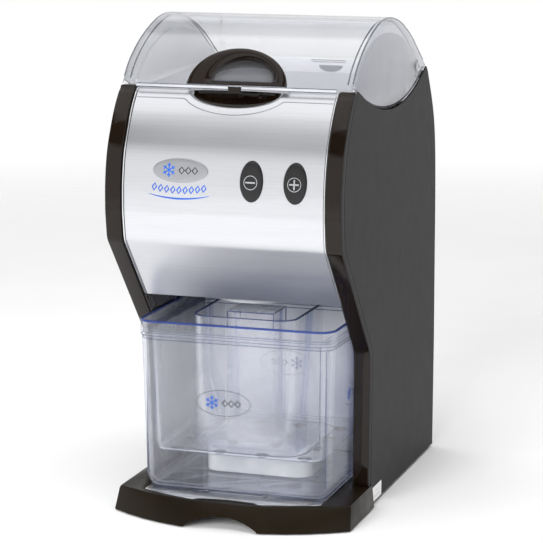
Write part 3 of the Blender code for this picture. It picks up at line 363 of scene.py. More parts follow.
def make_clear_looks():
    clear("clear_lid", LID_TINTS, two(0.012, 0.03), (0.62, 0.63, 0.66))
    clear("clear_disc", DISC_TINTS, [(0.0, 0.3), (0.8, 0.34), (1.0, 0.25)], (0.86, 0.87, 0.89),
          smooth=0.12)
    clear("clear_bar", DISC_TINTS, [(0.0, 0.8), (0.55, 0.7), (0.8, 0.3)], (0.52, 0.53, 0.56),
          smooth=0.05)
    clear("lid_edge", DISC_TINTS, [(0.0, 0.3), (0.5, 0.4), (1.0, 0.5)], (0.3, 0.31, 0.35),
          smooth=0.05)
    clear("line_grey", two((0.42, 0.43, 0.48), (0.2, 0.21, 0.25)), two(0.45, 0.45),
          (0.12, 0.13, 0.16))
    clear("edge_grey", two((0.66, 0.69, 0.79), (0.36, 0.41, 0.56)), two(0.2, 0.2),
          (0.2, 0.23, 0.33))
    clear("edge_pale", TUB_TINTS, two(0.3, 0.35), (0.72, 0.75, 0.84))
    clear("floor_line", two((0.36, 0.4, 0.54), (0.26, 0.3, 0.44)), two(0.65, 0.65),
          (0.09, 0.11, 0.2), shine=0.01, rim=0.1)
    clear("milky_tub", TUB_TINTS, [(0.0, 0.5), (0.5, 0.6), (1.0, 0.6)], (0.92, 0.94, 0.98),
          rim=0.3)
    clear("clear_tub", TUB_TINTS, TUB_HAZES_AND_STREAKS, TUB_HAZE, shine=0.018, ripple=0.02, rim=0.3)
    clear("clear_side", TUB_TINTS, SIDE_HAZES, TUB_HAZE, rim=0.3)
    clear("blue_edge", BLUE_TINTS, two(0.5, 0.6), (0.045, 0.08, 0.27), shine=0.02)
    clear("dark_hole", BLUE_TINTS, two(0.75, 0.75), (0.02, 0.027, 0.05), shine=0.01, rim=0.1)
    clear("frosted", two((0.85, 0.87, 0.92), (0.7, 0.74, 0.84)), two(0.5, 0.65),
          (0.84, 0.87, 0.94), smooth=0.2, ripple=0.2)


# ---- outlines and paths
def circle_points(count):
    return [(math.cos(a), math.sin(a)) for a in (2 * math.pi * k / count for k in range(count))]


def ellipse(half_u, half_v, count=48):
    return [(half_u * c, half_v * s) for c, s in circle_points(count)]


def rounded_box(half_x, front, back, radius, steps=8):
    """A rounded rectangle in plan, counter-clockwise from its front left corner."""
    result = []
    corners = ((-half_x + radius, front + radius, 180), (half_x - radius, front + radius, 270),
               (half_x - radius, back - radius, 0), (-half_x + radius, back - radius, 90))
    for x, y, start in corners:
        for k in range(steps + 1):
            a = math.radians(start + 90 * k / steps)
            result.append((x + radius * math.cos(a), y + radius * math.sin(a)))
    return result


def at_height(outline, z):
    return [(x, y, z) for x, y in outline]


def moved(outline, du, dv):
    """An outline shifted in its own plane."""
    return [(u + du, v + dv) for u, v in outline]


def circle_at(x, y, z, radius, count=20):
    return at_height(moved(ellipse(radius, radius, count), x, y), z)


def laid(lines, on):
    """Lines of (u, v) points carried onto a surface."""
    return [[on(u, v) for u, v in line] for line in lines]


def smooth(points, steps=4):
    """A Catmull-Rom curve through points."""
    padded = [points[0], *points, points[-1]]
    result = []
    for a, b, c, d in zip(padded, padded[1:], padded[2:], padded[3:]):
        for k in range(steps):
            t = k / steps
            result.append(tuple(0.5 * (2 * q + (r - p) * t + (2 * p - 5 * q + 4 * r - s) * t * t
                                       + (3 * q - p - 3 * r + s) * t ** 3)
                                for p, q, r, s in zip(a, b, c, d)))
    result.append(tuple(points[-1]))
    return result


def inset_path(points, distance):
    """An open path moved to its left."""
    result = []
    for i, point in enumerate(points):
        before = Vector(points[max(i - 1, 0)])
        after = Vector(points[min(i + 1, len(points) - 1)])
        along = (after - before).normalized()
        result.append((point[0] - along.y * distance, point[1] + along.x * distance))
    return result


def lookup(table, z, column):
    """A value of a table sorted by its first column, between rows."""
    for a, b in zip(table, table[1:]):
        if z <= b[0]:
            t = (z - a[0]) / (b[0] - a[0])
            return a[column] + (b[column] - a[column]) * t
    return table[-1][column]


def tube(path, radius, sides=6, closed=False, flat=1.0, facing=(0, -1, 0)):
    """Rings of a rod along a path; flat squashes it along the facing direction."""
    points = [Vector(p) for p in path]
    rings = []
    count = len(points)
    for i, here in enumerate(points):
        before = points[i - 1] if i or closed else here
        after = points[(i + 1) % count] if i < count - 1 or closed else here
        along = (after - before).normalized()
        out = Vector(facing)
        out = (out - along * out.dot(along)).normalized()
        side = along.cross(out)
        rings.append([here + (side * c + out * flat * s) * radius for c, s in circle_points(sides)])
    return rings


# ---- mesh helpers
def mesh_from(bm):
    bmesh.ops.recalc_face_normals(bm, faces=bm.faces)
    mesh = bpy.data.meshes.new("mesh")
    bm.to_mesh(mesh)
    bm.free()
    return mesh


def new_loops(bm, rings):
    return [[bm.verts.new(p) for p in ring] for ring in rings]


def bridge(bm, loops, closed=True):
    """Quads between neighbouring loops of the same count, or between open rows of points."""
    count = len(loops[0])
    for first, second in zip(loops, loops[1:]):
        for i in range(count if closed else count - 1):
            j = (i + 1) % count
            bm.faces.new((first[i], first[j], second[j], second[i]))


def loft(solids, ends=True):
    """A mesh of solids, each through closed rings; without ends the last ring joins the first."""
    bm = bmesh.new()
    for rings in solids:
        loops = new_loops(bm, rings)
        bridge(bm, loops if ends else loops + [loops[0]])
        if ends:
            bm.faces.new(loops[0])
            bm.faces.new(loops[-1])
    return mesh_from(bm)


def domed(rings, tip):
    """A solid through rings from its back up to a point at the middle of its front."""
    bm = bmesh.new()
    loops = new_loops(bm, rings)
    bridge(bm, loops)
    bm.faces.new(loops[0])
    top = bm.verts.new(tip)
    last = loops[-1]
    for i, vert in enumerate(last):
        bm.faces.new((vert, last[(i + 1) % len(last)], top))
    return mesh_from(bm)


def closed_sheet(layers):
    """A sheet with a front and a back layer of points in rows, closed around its rim."""
    bm = bmesh.new()
    layers = [new_loops(bm, layer) for layer in layers]
    for layer in layers:
        bridge(bm, layer, closed=False)
    bridge(bm, [layer[0] + [row[-1] for row in layer[1:-1]] + layer[-1][::-1]
                + [row[0] for row in layer[-2:0:-1]] for layer in layers])
    return mesh_from(bm)


def prism(outline, low_y, high_y):
    """A front outline (X, Z) carried through from one Y to another, as a cutter."""
    return loft([[[(x, y, z) for x, z in outline] for y in (low_y, high_y)]])


def node_copy(node):
    """The CAD node's own shape, with its flat faces made whole again."""
    bm = bmesh.new()
    bm.from_mesh(NODES[node].data)
    bmesh.ops.remove_doubles(bm, verts=bm.verts, dist=WELD)
    bmesh.ops.dissolve_limit(bm, angle_limit=math.radians(0.5), verts=bm.verts, edges=bm.edges)
    return bm


def new_object(name, data):
    item = bpy.data.objects.new(name, data)
    bpy.context.scene.collection.objects.link(item)
    return item


def paint(item, index, test):
    """Gives an object's faces that pass a test another of its materials."""
    for face in item.data.polygons:
        if test(face):
            face.material_index = index


def shade_round(mesh, angle):
    mesh.shade_smooth()
    mesh.set_sharp_from_angle(angle=math.radians(angle))


def apply_modifiers(item, angle=35):
    bpy.context.view_layer.update()
    evaluated = item.evaluated_get(bpy.context.evaluated_depsgraph_get())
    mesh = bpy.data.meshes.new_from_object(evaluated)
    old, item.data = item.data, mesh
    item.modifiers.clear()
    bpy.data.meshes.remove(old)
    shade_round(mesh, angle)


def cut(item, *meshes):
    """Boolean difference, applied at once, so that the piece holds its final mesh."""
    for mesh in meshes:
        tool = new_object("tool", mesh)
        change = item.modifiers.new("cut", "BOOLEAN")
        change.operation, change.solver, change.object = "DIFFERENCE", "EXACT", tool
        apply_modifiers(item)
        bpy.data.objects.remove(tool)


# ---- pieces
def piece(name, mesh, body, look, slot=None, angle=60, stands_for=None, looks=()):
    """Links a finished mesh as a piece that rides on a CAD body."""
    mesh.name = name
    item = new_object(name, mesh)
    # This empties the slots and also puts every face back on the first one
    mesh.materials.clear()
    for each in (look, *looks):
        mesh.materials.append(LOOKS[each])
    shade_round(mesh, angle)
    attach(item, body)
    slot or look
    if stands_for:
        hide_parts(stands_for)
    return item


def lofted(name, rings, body, look, slot=None, ends=True, **others):
    """A piece of one loft."""
    return piece(name, loft([rings], ends), body, look, slot, **others)


def rods(name, paths, radius, body, look, slot=None, sides=6, angle=60, **shape):
    """A piece of one or more rods along paths; shape is closed, flat or facing, as in tube."""
    solids = [tube(path, radius, sides, **shape) for path in paths]
    return piece(name, loft(solids, not shape.get("closed")), body, look, slot, angle)


def softened(node, body, look, width, segments, looks=()):
    """The CAD node's own shape with its edges rounded, standing for that node."""
    item = piece(node + "_fine", mesh_from(node_copy(node)), body, look, stands_for=node,
                 looks=looks)
    change = item.modifiers.new("edges", "BEVEL")
    change.width, change.segments = width, segments
    change.limit_method, change.angle_limit = "ANGLE", math.radians(30)
    change.harden_normals = False
    change.use_clamp_overlap = True
    apply_modifiers(item, 40)
    return item


# ---- the front's side profile
def front_profile():
    """The pillars' side outline from the CAD, bottom to top: Z, front Y and back Y."""
    heights = {}
    edge = PILLARS["left"][1].x - 0.0012
    for vert in NODES["front_pillar_left"].data.vertices:
        if abs(vert.co.x - edge) < 0.0003:
            heights.setdefault(round(vert.co.z, 4), []).append(vert.co.y)
    return sorted((z, min(ys), max(ys)) for z, ys in heights.items())


RAW_FACE = front_profile()
FACE_STEPS = 130
FACE_HEIGHTS = [RAW_FACE[0][0] + (RAW_FACE[-1][0] - RAW_FACE[0][0]) * k / FACE_STEPS
                for k in range(FACE_STEPS + 1)]
FINE_FACE = smooth([(z, lookup(RAW_FACE, z, 1), lookup(RAW_FACE, z, 2)) for z in FACE_HEIGHTS], 2)
PANEL_RECESS = PANEL_LOW.y - min(y for _, y, _ in RAW_FACE)


def panel_y(z):
    return lookup(FINE_FACE, z, 1) + PANEL_RECESS


def panel_point(x, z, lift=0.0):
    """A point above the panel's front face, by a distance along its normal."""
    step = 0.0015
    slope = Vector((0, panel_y(z + step) - panel_y(z - step), 2 * step)).normalized()
    return Vector((x, panel_y(z), z)) + Vector((0, -slope.z, slope.y)) * lift


# ---- casing
def make_pillars():
    """Gloss pillars with a rounded top; their outer sides are as matt as the side panels."""
    for side, (low, high) in PILLARS.items():
        middle, half = (low.x + high.x) / 2, (high.x - low.x) / 2

        def ring(z, front, back, inset=0.0):
            outline = rounded_box(half - inset, front + inset, back - inset, 0.001, 4)
            return at_height(moved(outline, middle, 0), z)
        rings = [ring(*row) for row in FINE_FACE[:-1]]
        z, front, back = FINE_FACE[-1]
        rings += [ring(z - 0.0009, front, back), ring(z - 0.0004, front, back, 0.0003),
                  ring(z, front, back, 0.001)]
        item = lofted(f"pillar_{side}", rings, "housing", "gloss_black",
                      stands_for=f"front_pillar_{side}", looks=("skin_charcoal",))
        paint(item, 1, lambda f: f.normal.x * middle > 0 and abs(f.normal.x) > 0.95)


def panel_sheet():
    """The panel as a closed sheet with a fine grid, so that its curve stays smooth."""
    half, thick = PANEL_HIGH.x - 0.0024, 0.0014
    columns, rows = 40, 110
    low, tall = PANEL_LOW.z + 0.0003, PANEL_HIGH.z - PANEL_LOW.z - 0.0004
    layers = [[[panel_point(half * (2 * c / columns - 1), low + tall * r / rows, lift)
                for c in range(columns + 1)] for r in range(rows + 1)] for lift in (0.0, -thick)]
    return closed_sheet(layers)


def groove_path():
    """The parting line across the panel's top, which dips below the finger recess."""
    half, high, low = PANEL_HIGH.x - 0.001, PANEL_HIGH.z - 0.0068, PANEL_HIGH.z - 0.019
    dip, steps = 0.0455, 80
    points = []
    for k in range(steps + 1):
        x = -half + 2 * half * k / steps
        t = min(1.0, abs(x) / dip)
        z = low + (high - low) * (1 - (1 - t * t) ** 0.75) if t < 1 else high
        points.append(panel_point(x, z, 0.0001))
    return points


def make_front_panel():
    """The brushed panel with its button holes, its finger recess and its parting groove."""
    panel = piece("panel_face", panel_sheet(), "housing", "brushed_silver",
                  stands_for="front_panel")
    tools = []
    for middle in BUTTONS.values():
        hole = ellipse(BUTTON_HALF[0] + 0.0005, BUTTON_HALF[1] + 0.0005)
        tools.append(prism(moved(hole, middle.x, middle.z), -0.19, -0.12))
    crescent = ellipse(CRESCENT[0] + LIP_OUT, CRESCENT[1] + LIP_OUT, 72)
    tools.append(prism(moved(crescent, 0, PANEL_HIGH.z + 0.0005), -0.16, -0.1))
    tools.append(loft([tube(groove_path(), 0.00055)]))
    cut(panel, *tools)
    line = [point + Vector((0, 0.0001, 0)) for point in groove_path()[1:-1]]
    rods("panel_groove_line", [line], 0.00032, "housing", "component_grey", "brushed_silver")


def make_recess_lip():
    """The panel's edge, rolled back into the finger recess."""
    rings = []
    steps, turns = 48, 8
    for k in range(steps + 1):
        a = math.pi * (1 + k / steps)
        u, v = CRESCENT[0] * math.cos(a), CRESCENT[1] * math.sin(a)
        normal = Vector((u / CRESCENT[0] ** 2, v / CRESCENT[1] ** 2)).normalized()
        ring = []
        for s in range(turns + 1):
            turn = math.pi / 2 * s / turns
            inward = LIP_ROLL * math.sin(turn) - LIP_OUT - 0.0002
            sink = LIP_ROLL * (1 - math.cos(turn))
            ring.append(panel_point(u - normal.x * inward,
                                    PANEL_HIGH.z + 0.0004 + v - normal.y * inward, -sink - 0.00005))
        behind = Vector((normal.x, 0, normal.y)) * 0.0004 + Vector((0, 0.0005, 0))
        ring += [point + behind for point in reversed(ring)]
        rings.append([(p.x, p.y, min(p.z, PANEL_HIGH.z)) for p in ring])
    lofted("recess_lip", rings, "housing", "brushed_silver", angle=50)


def make_trim():
    """Bright beads between the panel and the pillars, with their ends drawn in."""
    sides, steps = 12, 90
    for word, side in SIDES:
        path = [panel_point(side * (PANEL_HIGH.x - 0.001),
                            PANEL_LOW.z + 0.0005 + (PANEL_HIGH.z - PANEL_LOW.z) * k / steps, 0.0001)
                for k in range(steps + 1)]
        rings = tube(path, 0.00085, sides, flat=1.25)
        caps = []
        for end, way in ((rings[0], -1), (rings[-1], 1)):
            middle = sum(end, Vector()) / sides
            caps.append([middle + (p - middle) * 0.5 + Vector((0, 0, way * 0.0004)) for p in end])
        lofted(f"trim_{word}", [caps[0], *rings, caps[1]], "housing", "trim_silver",
               "brushed_silver")


def make_buttons():
    """Domed oval buttons, each with its sign in a ring, a little below its middle."""
    drop, arm, steps = 0.0005, 0.0044, 6
    along = [-arm + 2 * arm * k / steps for k in range(steps + 1)]
    for name, middle in BUTTONS.items():
        def on_face(u, v):
            reach = min(1.0, math.hypot(u / BUTTON_HALF[0], v / BUTTON_HALF[1]))
            z = middle.z + v
            return (middle.x + u, panel_y(z) - lookup(BUTTON_RISE, reach, 1), z)
        rings = [[(middle.x + u, -0.16, middle.z + v) for u, v in ellipse(*BUTTON_HALF)]]
        for scale in (1.0, 0.985, 0.96, 0.92, 0.86, 0.78, 0.66, 0.5, 0.3, 0.12):
            rings.append([on_face(u * scale, v * scale) for u, v in ellipse(*BUTTON_HALF)])
        piece(f"{name}_cap", domed(rings, on_face(0, 0)), name, "button_black", angle=50,
              stands_for=name)
        loop = moved(ellipse(0.006, 0.006, 40), 0, -drop)
        rods(f"{name}_ring", laid([loop], on_face), 0.00032, name, "mark_grey", "button_black",
             closed=True, flat=0.5)
        bars = [[(t, -drop) for t in along], [(0, t - drop) for t in along]]
        for index, path in enumerate(bars if name == "button_plus" else bars[:1]):
            rods(f"{name}_bar_{index}", laid([path], on_face), 0.00072, name, "mark_grey",
                 "button_black", sides=8, flat=0.35 + 0.1 * index)


def make_skins():
    """The rear cover, the base tray and the drip grid, with their edges rounded."""
    softened("rear_cover", "housing", "skin_charcoal", 0.0004, 1)
    softened("base_tray", "housing", "base_black", 0.0009, 3)
    softened("drip_grid", "drip_grid", "stainless", 0.0003, 1)


# ---- badge, label and small marks
def flake(u0, v0, size):
    """Six arms with small branches."""
    lines = []
    for k in range(6):
        a = math.pi * k / 3 + math.pi / 6
        du, dv = math.cos(a), math.sin(a)
        lines.append([(u0, v0), (u0 + du * size, v0 + dv * size)])
        root = (u0 + du * size * 0.6, v0 + dv * size * 0.6)
        for b in (a - math.pi / 3, a + math.pi / 3):
            lines.append([root, (root[0] + math.cos(b) * size * 0.3,
                                 root[1] + math.sin(b) * size * 0.3)])
    return lines


def diamonds(count, u0, step, half_u, half_v, v_of=lambda u: 0.0, lean=0.0):
    """A row of upright diamonds; v_of gives the height of each one's middle."""
    lines = []
    for u in (u0 + step * k for k in range(count)):
        v = v_of(u)
        points = [(u - half_u, v), (u + lean, v + half_v), (u + half_u, v), (u - lean, v - half_v)]
        lines.append(points + points[:1])
    return lines


def ink(name, lines, width, look, on, flat=0.35):
    """Thin raised lines on the panel."""
    rods(name, laid(lines, on), width / 2, "housing", look, "dark_plastic", flat=flat)


def make_badge():
    """A silver oval with a snowflake and three crystals."""
    def on(u, v, lift=0.00112):
        return panel_point(BADGE_AT[0] + u, BADGE_AT[1] + v, lift)
    outline = ellipse(*BADGE_HALF)
    rings = [[on(u * scale, v * scale, lift) for u, v in outline] for scale, lift in
             ((1.0, -0.0002), (1.0, 0.0006), (0.985, 0.0009), (0.95, 0.001), (0.6, 0.0011),
              (0.3, 0.0011))]
    piece("badge", domed(rings, on(0, 0, 0.0011)), "housing", "badge_silver", "brushed_silver",
          angle=50)
    edge = ellipse(BADGE_HALF[0] + 0.0002, BADGE_HALF[1] + 0.0002, 64)
    rods("badge_border", [[on(u, v, 0.0005) for u, v in edge]], 0.00026, "housing", "mark_grey",
         "component_grey", closed=True)
    ink("badge_flake", flake(-0.0105, 0.0, 0.0062), 0.0011, "ink_blue", on)
    ink("badge_cubes", diamonds(3, 0.0015, 0.0062, 0.0026, 0.003), 0.0011, "ink_black", on)


def make_swoosh():
    """A row of small blue crystals above a blue arc, below the badge."""
    def on(u, v, lift=0.00008):
        return panel_point(CRYSTALS_AT[0] + u, CRYSTALS_AT[1] + v, lift)

    def sag(u):
        return 0.0035 * (u / SWOOSH_HALF) ** 2
    crystals = diamonds(9, -0.0232, 0.0058, 0.002, 0.0031, lambda u: sag(u) + 0.0006, 0.0005)
    ink("crystals", crystals, 0.0013, "ink_blue", on, flat=0.25)
    rings = []
    steps = 40
    for k in range(steps + 1):
        u = -SWOOSH_HALF + 2 * SWOOSH_HALF * k / steps
        half = (0.0004 + 0.0011 * (1 - (abs(u) / SWOOSH_HALF) ** 2)) / 2
        middle = sag(u) - 0.007
        rings.append([on(u, middle + way * half, lift) for way, lift in
                      ((-1, 0.0), (1, 0.0), (1, 0.00018), (-1, 0.00018))])
    lofted("swoosh", rings, "housing", "ink_blue", "dark_plastic", angle=50)


def make_label():
    """A blank white label on the right side skin, with two plain grey lines."""
    low_y, high_y, low_z, high_z = -0.057, -0.0245, 0.0035, 0.0175
    x, middle = SKIN_HIGH.x, (low_y + high_y) / 2
    outline = rounded_box((high_y - low_y) / 2, low_z, high_z, 0.0008, 3)
    rings = [[(x + lift, middle + u, v) for u, v in outline] for lift in (-0.0001, 0.00015)]
    lofted("label", rings, "housing", "label_white", "white_plastic", angle=35)
    lines = [[(x + 0.00016, middle + way * half, low_z + rise) for way in (-1, 1)]
             for half, rise in ((0.01, 0.004), (0.003, 0.009))]
    rods("label_lines", lines, 0.0002, "housing", "mark_grey", "component_grey", angle=35,
         facing=(1, 0, 0), flat=0.4)


# ---- lid
def lid_outline():
    """The lid's end outline from the CAD: its crown and its lower arc (Y, Z), front to rear."""
    points = {(round(v.co.y, 5), round(v.co.z, 5)) for v in NODES["lid"].data.vertices
              if v.co.x < LID_LOW.x + 0.0001}
    away = [p for p in points if math.hypot(p[0] - LID_PIVOT.y, p[1] - LID_PIVOT.z) > 0.005]
    front, rear = min(away), max(away)

    def above(p):
        t = (p[0] - front[0]) / (rear[0] - front[0])
        return p[1] >= front[1] + (rear[1] - front[1]) * t - WELD
    crown = sorted(p for p in away if above(p))
    lower = sorted((p for p in away if not above(p)), reverse=True)
    return crown, lower


def make_lid():
    """A clear half round cover with an end disc at each side and a rounded outer edge."""
    crown, lower = lid_outline()
    crown = smooth(crown, 2)
    wall, half = 0.0022, LID_HIGH.x
    inner = inset_path(crown, -wall)[2:-2]
    bm = bmesh.new()
    ends = []
    for side in (-1, 1):
        loops = []
        for out, inset in ((0.0, 0.0016), (0.0003, 0.0008), (0.0008, 0.0003), (0.0016, 0.0),
                           (wall, 0.0)):
            outline = inset_path(crown, -inset) + [inner[-1]] + lower + [inner[0]]
            loops.append([bm.verts.new((side * (half - out), y, z)) for y, z in outline])
        bridge(bm, loops)
        bm.faces.new(loops[0]).material_index = 1
        x = side * (half - wall)
        full = loops[-1]
        count = len(crown)
        inside = [full[-1]] + [bm.verts.new((x, y, z)) for y, z in inner[1:-1]] + [full[count]]
        bm.faces.new(inside + full[count + 1:-1]).material_index = 1
        ends.append((full[:count], inside))
    (left_out, left_in), (right_out, right_in) = ends
    bridge(bm, [left_out, right_out], closed=False)
    bridge(bm, [left_in, right_in], closed=False)
    for end in (0, -1):
        rim = [[left_out[end], left_in[end]], [right_out[end], right_in[end]]]
        bridge(bm, rim, closed=False)
    item = piece("lid_shell", mesh_from(bm), "lid", "clear_lid", angle=30,
                 stands_for="lid", looks=("clear_disc", "lid_edge"))
    paint(item, 2, lambda f: abs(f.center.x) > half - 0.0012 and f.material_index == 0)
    make_lid_beads(crown, half)
    make_lid_lip(crown[0])


def make_lid_beads(crown, half):
    """Moulded beads: one inside each end of the crown, and one along its outer rim."""
    for word, side in SIDES:
        for label, sink, inset, radius in (("bead", 0.0026, 0.0058, 0.0007),
                                           ("rim", 0.0006, 0.0006, 0.0006)):
            path = [(side * (half - inset), y, z) for y, z in inset_path(crown, -sink)[3:-3]]
            rods(f"lid_{label}_{word}", [path], radius, "lid", "line_grey", "clear_lid",
                 facing=(1, 0, 0))


def make_lid_lip(front):
    """The lip along the lid's front edge, on both sides of the catch, with a dark line along its top and a dark
    line at its foot that paints the shadow gap above the panel.
    """
    profile = moved([(-0.0002, 0.0006), (-0.0006, -0.0002), (-0.0006, -0.0022), (0.0002, -0.0028),
                     (0.0012, -0.0022), (0.0012, 0.0006)], *front)
    gap, reach = 0.0066, PANEL_HIGH.x - 0.0012
    for name, low, high in (("lid_lip_left", -reach, -gap), ("lid_lip_right", gap, reach)):
        rings = [[(x, y, z) for y, z in profile] for x in (low, high)]
        lofted(name, rings, "lid", "clear_bar", "clear_lid", angle=50)
        # the foot line is painted shade: it stands for the shadow gap between the lip and the panel
        for word, drop in (("top", -0.0004), ("foot", 0.0025)):
            path = [(x, front[0] - 0.0005, front[1] - drop) for x in (low, high)]
            rods(f"{name}_{word}", [path], 0.00035, "lid", "line_grey", "clear_lid")


def make_lid_shade_strips():
    """Black strips along the lower edge of each round end of the lid: painted shade for the dark gap between each
    disc and the side panel.
    """
    crown, lower = lid_outline()
    middle = sum((Vector(p) for p in crown + lower), Vector((0, 0))) / len(crown + lower)
    for word, side in SIDES:
        path = []
        for y, z in lower[2:-2]:
            away = (Vector((y, z)) - middle).normalized() * 0.0022
            path.append((side * (LID_HIGH.x - 0.0013), y + away.x, z + away.y))
        rods(f"lid_shade_strip_{word}", [path], 0.001, "lid", "rubber", sides=8, facing=(1, 0, 0))


def handle_depth(u, v):
    """How far the handle's face lies behind its plane: a rounded outer edge and a dish."""
    half_u, half_v = HANDLE_HALF
    edge = max(0.0, (math.hypot(u / half_u, v / half_v) - 0.87) / 0.13)
    depth = 0.005 * (1 - math.sqrt(max(0.0, 1 - edge * edge)))
    reach = math.hypot((u - DISH_SHIFT) / (half_u - DISH_SHIFT), v / half_v)
    wall = min(1.0, max(0.0, (0.86 - reach) / 0.2))
    foot = min(1.0, max(0.0, (v - 0.0022) / 0.0024))
    floor = 0.0012 + min(0.0066, 0.4 * v)
    return depth + floor * (wall * foot) ** 2 * (3 - 2 * wall * foot)


def make_handle():
    """A half oval with a rounded rim and a smooth dish, as thick as the lid behind it allows."""
    out = Vector((0, -HANDLE_UP.z, HANDLE_UP.y))
    crown, _ = lid_outline()
    columns, rows = 96, 48
    lift, step, thickest = 0.0009, 0.0006, 0.026

    def crown_gap(point):
        for (y0, z0), (y1, z1) in zip(crown, crown[1:]):
            if z0 <= point.z <= z1:
                return y0 + (y1 - y0) * (point.z - z0) / (z1 - z0) - 0.0004 - point.y
        return 0.001
    front, back = [], []
    for c in range(columns + 1):
        a = math.radians(-88.5 + 177 * c / columns)
        u, height = HANDLE_HALF[0] * math.sin(a), HANDLE_HALF[1] * math.cos(a)
        front.append([])
        back.append([])
        for r in range(rows + 1):
            v = lift + (height - lift) * math.sin(math.pi / 2 * r / rows)
            base = HANDLE_FOOT + Vector((u, 0, 0)) + HANDLE_UP * v
            deep = handle_depth(u, v)
            front[-1].append(base - out * deep)
            while deep < thickest and crown_gap(base - out * (deep + step)) > 0:
                deep += step
            back[-1].append(base - out * (deep + step))
    piece("handle", closed_sheet([front, back]), "lid", "handle_black", "gloss_black",
          angle=50, stands_for="lid_handle")


def make_screws():
    """Round heads with a cross slot on the lid's pivots."""
    outer, slot_long, slot_wide = 0.0055, 0.0026, 0.0006
    profile = ((0.0025, -0.0075), (0.0025, 0.0), (outer, 0.0), (outer, 0.0007),
               (outer - 0.0004, 0.0012), (outer - 0.0012, 0.0016), (0.0026, 0.0018),
               (0.0012, 0.0018))
    for word, side in SIDES:
        def ring(outline, reach):
            x = side * (LID_HIGH.x + GAP + reach)
            return [(x, y, z) for y, z in moved(outline, LID_PIVOT.y, LID_PIVOT.z)]
        name = f"lid_screw_{word}"
        rings = [ring(ellipse(radius, radius, 32), reach) for radius, reach in profile]
        item = lofted(name + "_head", rings, "housing", "steel", stands_for=name)
        for wide, high in ((slot_long, slot_wide), (slot_wide, slot_long)):
            corners = [(-wide, -high), (wide, -high), (wide, high), (-wide, high)]
            cut(item, loft([[ring(corners, reach) for reach in (0.0008, 0.003)]]))
        paint(item, 0, lambda f: True)


# ---- hopper
def make_hopper():
    """The hopper, with its sloping floor and its upward edges given a darker grey as painted shade."""
    item = softened("hopper", "housing", "hopper_grey", 0.0005, 2, ("hopper_shade",))
    # upward faces take hopper_shade, a darker copy of the hopper's grey: painted shade
    paint(item, 1, lambda f: f.normal.z > 0.3 and abs(f.normal.x) < 0.5)


def make_hopper_back():
    """The hopper's back wall, which rises under the lid behind the ice, and its fill mark."""
    half, low, high, corner = 0.1012, 0.3855, 0.403, 0.01
    front, thick, steps = HOPPER_HIGH.y - 0.006, 0.002, 8
    outline = [(-half, low), (half, low)]
    for start, x in ((0, half - corner), (90, corner - half)):
        for k in range(steps + 1):
            a = math.radians(start + 90 * k / steps)
            outline.append((x + corner * math.cos(a), high - corner + corner * math.sin(a)))
    rings = []
    for y, inset in ((0.0, 0.0006), (0.0003, 0.0002), (0.0007, 0.0), (thick - 0.0007, 0.0),
                     (thick - 0.0003, 0.0002), (thick, 0.0006)):
        rings.append([(x * (1 - inset / half), front + y, z - inset * (z - low) / (high - low))
                      for x, z in outline])
    lofted("hopper_back", rings, "housing", "hopper_grey", angle=50)
    make_fill_mark(front)


def make_fill_mark(wall_y):
    """A half round fill mark below two lines, raised on the hopper's back wall."""
    steps, right = 20, 0.0345
    solids = [tube([(x, wall_y - 0.0001, z), (right, wall_y - 0.0001, z)], 0.00035, flat=0.6)
              for x, z in ((-0.001, 0.4016), (0.001, 0.3998))]
    half_disc = [(0.0196 + 0.0122 * math.cos(a), 0.3966 + 0.0064 * math.sin(a))
                 for a in (-math.pi * k / steps for k in range(steps + 1))]
    solids.append([[(x, wall_y + lift, z) for x, z in half_disc] for lift in (0.0001, -0.0003)])
    piece("fill_mark", loft(solids), "housing", "fill_grey", "hopper_grey")


# ---- tub, basket and scoop
def edge_line(name, outline, radius, look="edge_grey", flat=1.0):
    """A thin bead along a closed edge of the clear tub or basket."""
    rods(name, [outline], radius, "tub", look, "clear_tub", closed=True, flat=flat,
         facing=(0, 0, 1))


def make_corner_refraction_lines(name, half, y, low, high):
    """Upright beads just inside the front corners of the clear tub or basket, in a grey that paints the dark
    streaks which bent light makes at rounded corners.
    """
    paths = [[(x, y, low), (x, y, (low + high) / 2), (x, y, high)] for x in (-half, half)]
    rods(name, paths, 0.0006, "tub", "edge_grey", "clear_tub")


